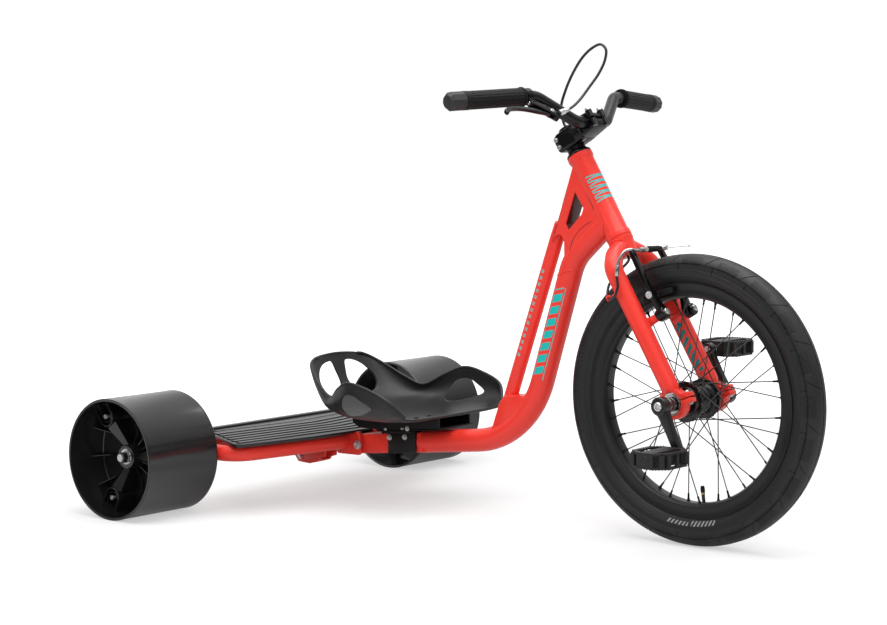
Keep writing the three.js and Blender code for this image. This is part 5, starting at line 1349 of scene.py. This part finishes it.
anchor += [rod(WIRE_LINE + SIDEWAYS * 0.0420, WIRE_LINE + SIDEWAYS * 0.0490, 4.4, 20, 0.5)]
built("inner_wire", [wire, crimp] + anchor, chrome, "brake_arm_left", ["brake_wire"])

# Front tyre: a black 20 inch street tyre with two rows of large slick blocks, a fine grid pressed into
# each block and thin mould lines round the walls. The pale bars low on the wall are a plain pattern.
TREAD_BLOCKS = 21
BLOCK_PITCH = 2 * math.pi / TREAD_BLOCKS
tyre_rubber = Finish("tyre_rubber", {"Specular IOR Level": 0.42})
wheel_here = tyre_rubber.node("VectorMath", {"operation": "SUBTRACT"},
    {0: tyre_rubber.place(), 1: FRONT_AXLE})
wheel_parts = tyre_rubber.node("SeparateXYZ", {}, [wheel_here])
wheel_across = Signal(tyre_rubber, wheel_parts.socket.node.outputs["Y"])
wheel_up = Signal(tyre_rubber, wheel_parts.socket.node.outputs["Z"])
wheel_angle = tyre_rubber.maths("ARCTAN2", wheel_up, wheel_parts)
wheel_radius = tyre_rubber.maths("SQRT", wheel_parts * wheel_parts + wheel_up * wheel_up)
tyre_side = absolute(wheel_across)
row_phase = 0.5 * tyre_rubber.ramp(wheel_across, -0.0001, 0.0001)
in_block = fract(wheel_angle / BLOCK_PITCH + row_phase + 40.5)
GRID_CELL = 0.0031
cell_along = fract((wheel_angle + 7) * 0.25 / GRID_CELL)
cell_across = fract((wheel_radius - tyre_side) / (GRID_CELL * 1.3))
grid = within(cell_along, 0.22, 0.78, 0.06) * within(cell_across, 0.22, 0.78, 0.06)
patch = within(in_block, 0.36, 0.90, 0.01) * within(tyre_side, 0.0165, 0.0275)
patch = patch * tyre_rubber.ramp(wheel_radius, 0.2380, 0.2384)
# painted shade: the shoulder grooves are drawn as dark lines beside their bump, for the shade inside them
shoulder_groove = 1 - within(in_block, 0.018, 0.982, 0.004)
shoulder_groove = shoulder_groove * within(wheel_radius, 0.2325, 0.2440)
pressed_recess_and_shade = grid * patch + shoulder_groove
PRINT_START = -1.76
PRINT_END = -1.30
PRINT_LOW = 0.2125
PRINT_HIGH = 0.2215
on_wall = within(wheel_radius, PRINT_LOW, PRINT_HIGH) * tyre_rubber.ramp(tyre_side, 0.0170, 0.0172)
slanted = fract((wheel_angle + 4) / 0.036 + wheel_radius / 0.017)
short_bars = within(wheel_angle, PRINT_START, -1.56, 0.002) * within(wheel_radius, 0.2148, PRINT_HIGH)
long_bars = within(wheel_angle, -1.53, PRINT_END, 0.002)
bars = on_wall * within(slanted, 0.25, 0.72, 0.03) * (short_bars + long_bars)
rubber_tint = tyre_rubber.two_colours(tyre_rubber.noise(14, 4), (0.0095, 0.0096, 0.0100, 1),
    (0.0145, 0.0146, 0.0150, 1))
worn_crown = tyre_rubber.ramp(wheel_radius, 0.244, 0.262)
rubber_tint = tyre_rubber.two_colours(0.7 * worn_crown, rubber_tint, grey(0.019, 0.020))
# painted shade: the pressed grid cells and the shoulder grooves turn near black, the shade in these
# recesses
rubber_tint = tyre_rubber.two_colours(pressed_recess_and_shade, rubber_tint, grey(0.001))
rubber_tint = tyre_rubber.two_colours(bars, rubber_tint, grey(0.30, 0.31))
tyre_rubber.drive("Base Color", rubber_tint)
tyre_rubber.drive("Roughness", 0.38 + 0.16 * tyre_rubber.noise(40, 3))
skin = tyre_rubber.noise(1500, 3)
tyre_rubber.relief(0.08 * skin - pressed_recess_and_shade + 0.4 * bars, 0.0010, 1.0)

TYRE_WALL = [(259, 0), (258.7, 5), (257.3, 10.5), (255, 15.5), (251.8, 19.8), (247.8, 23.2), (244, 25.4),
    (243.4, 24.8), (242.6, 24.8), (242, 26.2), (237, 27.3), (233, 27.6), (232.5, 28), (231.6, 28),
    (231.1, 27.5), (226, 26.6), (223.2, 25.8), (222.8, 26.1), (221.9, 25.8), (221.4, 25), (218, 23.5),
    (214.6, 21), (214.2, 21.1), (213.4, 20.5), (213, 19.6), (210.6, 16.8), (209.8, 16), (207.5, 15.4),
    (203.2, 15.2)]
TYRE_INSIDE = [(203.2, 12.2), (211, 16), (217, 20), (224, 22.2), (233, 23), (242, 20), (250, 13),
    (254, 0)]
tyre_loop = TYRE_WALL + TYRE_INSIDE
tyre_loop += [(radius, -side) for radius, side in TYRE_INSIDE[:-1]][::-1]
tyre_loop += [(radius, -side) for radius, side in TYRE_WALL][::-1]
tyre_carcass = turned(tyre_loop, FRONT_AXLE, SIDEWAYS, 144)

# a ring row: one piece is instanced round the front axle, as tread blocks, spokes and lugs are
ring_tree, grow, want = new_tree("ring_row", [("Geometry", "Geometry"), ("Piece", "Object"),
    ("Count", "Int"), ("Phase", "Float"), ("Centre", "Vector"), ("Finish", "Material")])
spots = grow.node("GeometryNodeMeshLine", {"mode": "OFFSET", "count_mode": "TOTAL"},
    {"Count": want["Count"], "Start Location": want["Centre"], "Offset": (0, 0, 0)})
each = grow.node("GeometryNodeInputIndex")
turn = want["Phase"] + each * (2 * math.pi) / want["Count"]
turned_by = grow.node("ShaderNodeCombineXYZ", {}, {"Y": turn})
shape = grow.node("GeometryNodeObjectInfo", {"transform_space": "ORIGINAL"}, {"Object": want["Piece"]},
    "Geometry")
row = grow.node("GeometryNodeInstanceOnPoints", {}, {"Points": spots, "Instance": shape,
    "Rotation": turned_by})
finish_tree(ring_tree, grow, row, want["Finish"])


def ring_of(name, shapes, count, phase, finish, body, stands_for=()):
    """Shapes drawn round a wheel centre at the origin, repeated about the front axle."""
    pattern = loose(name + "_pattern", merged(shapes))
    single = ([FRONT_AXLE.copy()], [], [])
    inputs = {"Piece": pattern, "Count": count, "Phase": phase, "Centre": tuple(FRONT_AXLE)}
    grown(name, ring_tree, single, inputs, finish, body, stands_for)
    bpy.data.objects.remove(pattern)


GROOVE = 1.5
CROWN = [(260, 1.2), (259.7, 5.2), (258.3, 10.7), (256, 15.8), (252.8, 20.3), (248.8, 23.9),
    (245.6, 25.6)]
BLOCK_DEPTH = 1.6
BLOCK_SLANT = 0.075
BLOCK_EASE = 0.3
BLOCK_COLUMNS = 10


def tread_block(way):
    """One block of the tread: it follows the crown, and its ends lean back towards the shoulder."""
    last = len(CROWN) - 1

    def corner(depth, i, j):
        radius, side = CROWN[i]
        lean = BLOCK_SLANT * (i / last) ** 1.6
        half = (BLOCK_PITCH - GROOVE / radius) / 2 - (0 if depth else BLOCK_EASE / radius)
        angle = lean - half + 2 * half * j / BLOCK_COLUMNS
        sunk = depth * BLOCK_DEPTH
        eased = 0 if depth or 0 < i < last else BLOCK_EASE
        drawn_in = way * side * (1 - sunk * 0.006)
        return (outward(angle) * (radius - sunk - eased) + SIDEWAYS * drawn_in) / 1000

    return layered(last, BLOCK_COLUMNS, corner)


built("tyre_carcass", [tyre_carcass], tyre_rubber, "front_wheel", ["tyre"], 24)
ring_of("tread_row_right", [tread_block(-1)], TREAD_BLOCKS, 0.0, tyre_rubber, "front_wheel")
ring_of("tread_row_left", [tread_block(1)], TREAD_BLOCKS, BLOCK_PITCH / 2, tyre_rubber, "front_wheel")

# Inner tube and valve: a thin rubber ring inside the tyre whose valve comes out through the rim, with
# a brass collar and a screwed plastic cap.
tube_rubber = worn("tube_rubber", grey(0.012), grey(0.018), 0.5, 900, 0.00008)
brass = worn("brass", (0.62, 0.42, 0.13, 1), (0.70, 0.50, 0.18, 1), 0.24, 1200, 0.00002, {"Metallic": 1})
VALVE_ANGLE = math.radians(-83.5)
valve_out = outward(VALVE_ANGLE)
tube_ring = swept(ring_line(FRONT_AXLE, SIDEWAYS, 229, 96)[:-1],
    [(u, v * 1.1) for u, v in circle(15, 20)], SIDEWAYS, loop=True)
stem_profile = [(0, -216), (5.2, -216), (5.2, -205), (3.4, -199), (3.1, -180), (3.1, -168.5),
    (2.6, -167.5), (0, -167.5)]
valve_stem = turned(stem_profile, FRONT_AXLE, -valve_out, 28)
built("inner_tube_ring", [tube_ring, valve_stem], tube_rubber, "front_wheel", ["inner_tube"])
collar_profile = [(0, -167.8), (3.3, -167.8), (3.6, -167.4), (3.6, -164.8), (3, -164), (2.6, -163),
    (0, -163)]
built("valve_collar", [turned(collar_profile, FRONT_AXLE, -valve_out, 28)], brass, "front_wheel")
cap_sides = []
for i in range(24):
    radius = 4.1 if i % 2 else 3.7
    cap_sides.append((radius * math.cos(math.pi * i / 12), radius * math.sin(math.pi * i / 12)))
cap_body = swept([FRONT_AXLE + valve_out * 0.1640, FRONT_AXLE + valve_out * 0.1560], cap_sides, SIDEWAYS)
cap_tip = turned([(0, -156.2), (3.8, -156.2), (3.6, -154), (2.8, -152.4), (0, -152)], FRONT_AXLE,
    -valve_out, 24)
built("valve_cap", [cap_body, cap_tip], coat_black, "front_wheel")

# Rim: a black anodised double-wall alloy hoop with machined braking flanks, drilled for 36 spokes.
rim_finish = Finish("rim_anodised", {"Metallic": 0.3, "Coat Weight": 0.1, "Coat Roughness": 0.3})
rim_tint = rim_finish.two_colours(rim_finish.noise(30, 3), grey(0.008, 0.0085), grey(0.012, 0.013))
rim_finish.drive("Base Color", rim_tint)
rim_finish.drive("Roughness", 0.30 + 0.1 * rim_finish.noise(90, 2))
rim_finish.relief(rim_finish.noise(700, 3, (1, 6, 1)), 0.00005, 0.5)
RIM_HALF = [(182, 0), (182, 8.8), (182.4, 10.6), (184.2, 13.2), (185.8, 15.6), (187.2, 17), (188.4, 17.4),
    (189.8, 17.2), (190.4, 17), (205.2, 17), (205.8, 17.3), (207.6, 17.4), (208.4, 17), (208.6, 16.3),
    (208, 15.8), (202.4, 15.5), (199, 12), (198, 8), (198, 0)]
rim_loop = RIM_HALF + [(radius, -side) for radius, side in RIM_HALF[1:-1]][::-1]
built("rim_hoop", [hoop(rim_loop, FRONT_AXLE, SIDEWAYS, 144)], rim_finish, "front_wheel",
    ["rim"], 28)
SPOKES_PER_SIDE = 18

# Spokes: black steel, laced over their neighbours from both flanges, each with its elbow and head in
# the flange and a black nipple at the rim.
spoke_steel = worn("spoke_steel", grey(0.066, 0.0682), grey(0.099, 0.101), 0.30, 900, 0.00002,
    {"Metallic": 0.8})
SPOKE_PITCH = 2 * math.pi / SPOKES_PER_SIDE
FLANGE_SIDE = 0.028
LACING = math.radians(60)
SPOKE_CIRCLE = 0.0338
RIM_SEAT = 0.1820
SPOKE_RADIUS = 1.05


def round_wheel(radius, angle, side):
    """A place in metres, measured from a wheel's middle."""
    return outward(angle) * radius + SIDEWAYS * side


for side, way in SIDES:
    shift = math.radians(5 if way > 0 else 15)
    wires = []
    fittings = []
    for i, (turn_way, face) in enumerate(((1, 1), (-1, -1))):
        hub_angle = SPOKE_PITCH * i + shift
        rim_angle = hub_angle + turn_way * LACING
        hub_end = round_wheel(SPOKE_CIRCLE, hub_angle, way * (FLANGE_SIDE + 0.0026 * face))
        rim_end = round_wheel(0.1812, rim_angle, way * 0.006)
        bend = hub_end + (rim_end - hub_end).normalized() * 0.0035
        inside = Vector((hub_end.x, way * (FLANGE_SIDE - 0.0024 * face), hub_end.z))
        line = [inside, hub_end + (inside - hub_end) * 0.25, hub_end + (bend - hub_end) * 0.3, bend,
            rim_end]
        wires.append(swept(line, circle(SPOKE_RADIUS, 8), FORWARD))
        wires.append(turned([(0, -0.8), (1.8, -0.8), (2.1, 0), (1.5, 0.8), (0, 1)], inside,
            SIDEWAYS * (-way * face), 10))
        pull = (hub_end - rim_end).normalized()
        fittings.append(turned([(0, -1), (2.3, -1), (2.3, 3), (1.9, 4.2), (1.9, 10.5), (1.4, 11.8),
            (0, 11.8)], rim_end, pull, 8))
        fittings.append(turned([(0, -0.6), (3.6, -0.6), (3.6, 0.8), (3, 1.2), (0, 1.2)],
            round_wheel(RIM_SEAT, rim_angle, way * 0.006), -round_wheel(1, rim_angle, 0), 14))
    ring_of("spoke_wires_" + side, wires, SPOKES_PER_SIDE // 2, 0.0, spoke_steel, "front_wheel",
        ["spokes_" + side])
    ring_of("spoke_nipples_" + side, fittings, SPOKES_PER_SIDE // 2, 0.0, coat_black, "front_wheel")

# Front hub: a black forged shell with drilled flanges and stepped ends, turning on two cartridge
# bearings round the crank spindle.
hub_finish = worn("hub_anodised", grey(0.00525, 0.0056), grey(0.00805, 0.0084), 0.24, 500, 0.00004,
    {"Metallic": 0.3, "Coat Weight": 0.35, "Coat Roughness": 0.12})
HUB_HALF = [(25, 0), (25, 3), (24.6, 3.6), (24.6, 6.4), (25, 7), (25, 18), (25.6, 21.5), (28, 24.6),
    (31, 25.8), (35, 26), (35.8, 26.4), (36, 28), (35.8, 29.6), (35, 30), (31, 30), (27.2, 30.4),
    (26.2, 31.2), (25, 33.6), (24, 34), (16.3, 34), (16.3, 22), (11, 22)]
hub_loop = HUB_HALF + [(radius, -side) for radius, side in HUB_HALF[1:]][::-1]
built("hub_shell", [hoop(hub_loop, FRONT_AXLE, SIDEWAYS, 72)], hub_finish, "front_wheel",
    ["front_hub"])
LUG = [(0, -2.1), (2.7, -2.1), (3.1, -1.6), (3.1, 1.6), (2.7, 2.1), (0, 2.1)]
for side, way in SIDES:
    lug = turned(LUG, Vector((SPOKE_CIRCLE, FLANGE_SIDE * way, 0)), SIDEWAYS, 12)
    first_angle = math.radians(-5 if way > 0 else -15)
    ring_of("flange_lugs_" + side, [lug], SPOKES_PER_SIDE, first_angle, hub_finish, "front_wheel")
for side, way in SIDES:
    race = hoop([(9.8, 22.3), (9.8, 32.2), (12.2, 32.2), (12.8, 33), (15.2, 33), (16, 32.2), (16, 22.3)],
        FRONT_AXLE, SIDEWAYS * way, 48)
    built("hub_race_" + side, [race], bearing_steel, "front_wheel", ["hub_bearing_" + side])

# Crank spindle: a bright steel shaft through the hub and both dropouts, with a grooved collar between
# each dropout and crank and a socket bolt in each end.
CRANK_INNER = 98
CRANK_OUTER = 112
spindle_steel = worn("spindle_steel", grey(0.15), grey(0.21), 0.26, 900, 0.00003, {"Metallic": 1})
spindle_shapes = [rod(FRONT_AXLE - SIDEWAYS * 0.112, FRONT_AXLE + SIDEWAYS * 0.112, 9.5, 40, 0.6)]
collar_loop = [(9, 74.4), (12.4, 74.4), (13, 75), (13, 80), (12.4, 80.6), (12.4, 82.6), (13, 83.2),
    (13, 89), (12.2, 90), (11.8, 96.2), (11.2, 97.6), (9, 97.6), (9, 74.4)]
spindle_shapes += both_sides([turned(collar_loop, FRONT_AXLE, SIDEWAYS, 48)])
built("spindle_and_collars", spindle_shapes, spindle_steel, "cranks", ["crank_spindle"])
built("spindle_bolts", both_sides(socket_bolt(FRONT_AXLE + SIDEWAYS * 0.1128, SIDEWAYS, 8, 4.6)), chrome,
    "cranks")

# Cranks: forged tapered arms in satin black with an eye at each end, set opposite each other. The pedal
# axle screws into the lower eye.
crank_coat = worn("crank_satin", grey(0.0051, 0.0054), grey(0.0072, 0.0078), 0.30, 900, 0.00003,
    {"Metallic": 0.2, "Coat Weight": 0.3, "Coat Roughness": 0.18})
CRANK_AIM = math.atan2(-76, 37)
CRANK_LENGTH = 0.088


def to_pedal(way):
    """The way from the spindle to one side's pedal. The cranks stand opposite each other."""
    return outward(CRANK_AIM if way < 0 else CRANK_AIM + math.pi)


for side, way in SIDES:
    lengthwise = to_pedal(way)
    aside = SIDEWAYS.cross(lengthwise)
    pedal_axle = FRONT_AXLE + lengthwise * CRANK_LENGTH
    low, high = (CRANK_INNER, CRANK_OUTER) if way > 0 else (-CRANK_OUTER, -CRANK_INNER)
    arm_side = [(4, -12.8), (22, -10.4), (45, -8.6), (68, -8.2), (86, -9.2)]
    arm_side += [(along, -beside) for along, beside in arm_side[::-1]]
    arm = plate([arm_side], FRONT_AXLE, lengthwise, aside, low, high, 3, 4)
    axis = SIDEWAYS * way
    big_eye = turned([(0, 98), (15.8, 98), (16.6, 98.8), (16.8, 105), (16.6, 112), (15.2, 113.8),
        (11, 114), (10, 112.8), (10, 112.4), (0, 112.4)], FRONT_AXLE, axis, 56)
    small_eye = hoop([(7.3, 98), (11.2, 98), (12, 98.8), (12, 111.2), (11.2, 112), (7.3, 112)],
        pedal_axle, axis, 48)
    built("crank_arm_" + side, [arm, big_eye, small_eye], crank_coat, "cranks",
        ["crank_" + side])
    shaft = turned([(0, 99), (7, 99), (7, 112.4), (9.2, 112.8), (9.2, 117.2), (8, 118.6), (6.2, 120),
        (5, 124), (5, 204.4), (0, 205)], pedal_axle, axis, 32)
    built("pedal_shaft_" + side, [shaft], zinc, "cranks", ["pedal_axle_" + side])

# Pedals: black moulded plastic cages with eight-sided rims, upright posts, a barrel round the axle and
# rows of small teeth. Each turns on its steel axle.
pedal_plastic = worn("pedal_plastic", grey(0.0096, 0.0099), grey(0.0144, 0.0147), 0.46, 1200, 0.00012)
PEDAL_RIM = [(17, 212), (37.5, 194), (37.5, 138), (20, 124), (-20, 124), (-37.5, 138), (-37.5, 194),
    (-17, 212)]
PEDAL_WINDOW = [(14, 203), (30, 190), (30, 141), (19, 132), (14, 132)]
PEDAL_WALLS = (((-17, 206.5), (17, 211.5), 0.6), ((-20, 124.5), (20, 129), 0.6),
    ((10.5, 130), (13.5, 206), 0.5), ((-13.5, 130), (-10.5, 206), 0.5))
POST_SPOTS = (((29, 200), 4.6), ((36, 192), 3.4), ((35.2, 166), 3), ((33, 136), 4))
for side, way in SIDES:
    middle = FRONT_AXLE + to_pedal(way) * CRANK_LENGTH

    def in_plan(points):
        """Outline points on this side's pedal, run anticlockwise on either side."""
        outline = [(x, way * y) for x, y in points]
        return outline if way > 0 else outline[::-1]

    window_ahead = in_plan(PEDAL_WINDOW)
    window_behind = in_plan([(-x, y) for x, y in PEDAL_WINDOW[::-1]])
    shapes = []
    for low in (10, -13.8):
        shapes.append(plate([in_plan(PEDAL_RIM), window_ahead, window_behind], middle, FORWARD, SIDEWAYS,
            low, low + 3.8, 0.7, 2))
    barrel = hoop([(5.6, 126), (9.8, 126), (10.4, 126.8), (10.4, 206), (9.8, 206.6), (5.6, 206.6)],
        middle, SIDEWAYS * way, 36)
    end_cap = turned([(0, 206), (8.8, 206), (8.8, 211.8), (8, 212.4), (6.8, 212.4), (6.2, 211.6),
        (0, 211.6)], middle, SIDEWAYS * way, 36)
    shapes += [barrel, end_cap]
    for (x_low, y_low), (x_high, y_high), edge in PEDAL_WALLS:
        outline = [(x_low, y_low), (x_low, y_high), (x_high, y_high), (x_high, y_low)]
        shapes.append(plate([in_plan(outline)], middle, FORWARD, SIDEWAYS, -10.5, 10.5, edge, 1))
    for (x, y), half in POST_SPOTS:
        for mirror in (1, -1):
            centre = middle + Vector((mirror * x / 1000, way * y / 1000, 0))
            shapes.append(plate([soft_box(half, half * 1.2, half * 0.4, 2)], centre, FORWARD, SIDEWAYS,
                -10.8, 10.8))
    built("pedal_cage_" + side, shapes, pedal_plastic, "pedal_" + side,
        ["pedal_" + side], 30)
    rim_run = [Vector((x * 0.985, way * (y * 0.985 + 2.4), 0)) / 1000 for x, y in PEDAL_RIM]
    tooth_lines = []
    for height in (0.0138, -0.0138):
        for first, second in ((0, 1), (1, 2), (2, 3), (4, 5), (5, 6), (6, 7), (7, 8)):
            ends = (rim_run[first % 8], rim_run[second % 8])
            tooth_lines.append([middle + end + UPWARD * height for end in ends])
    grown("pedal_teeth_" + side, bead_tree, line_mesh(tooth_lines),
        {"Pitch": 0.0052, "Bead": (0.0012, 0.0013, 0.0010)}, pedal_plastic, "pedal_" + side)

# Pieces whose modelled shape already is the real one: plain steel races pressed into the head tube and
# the drums, and the axle through both drums.
for node in ("headset_bearing_upper", "headset_bearing_lower", "rear_bearing_inner_left",
        "rear_bearing_inner_right", "rear_axle"):
    steel_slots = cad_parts[node].material_slots
    for steel_slot in steel_slots:
        steel_slot.material = bearing_steel.material
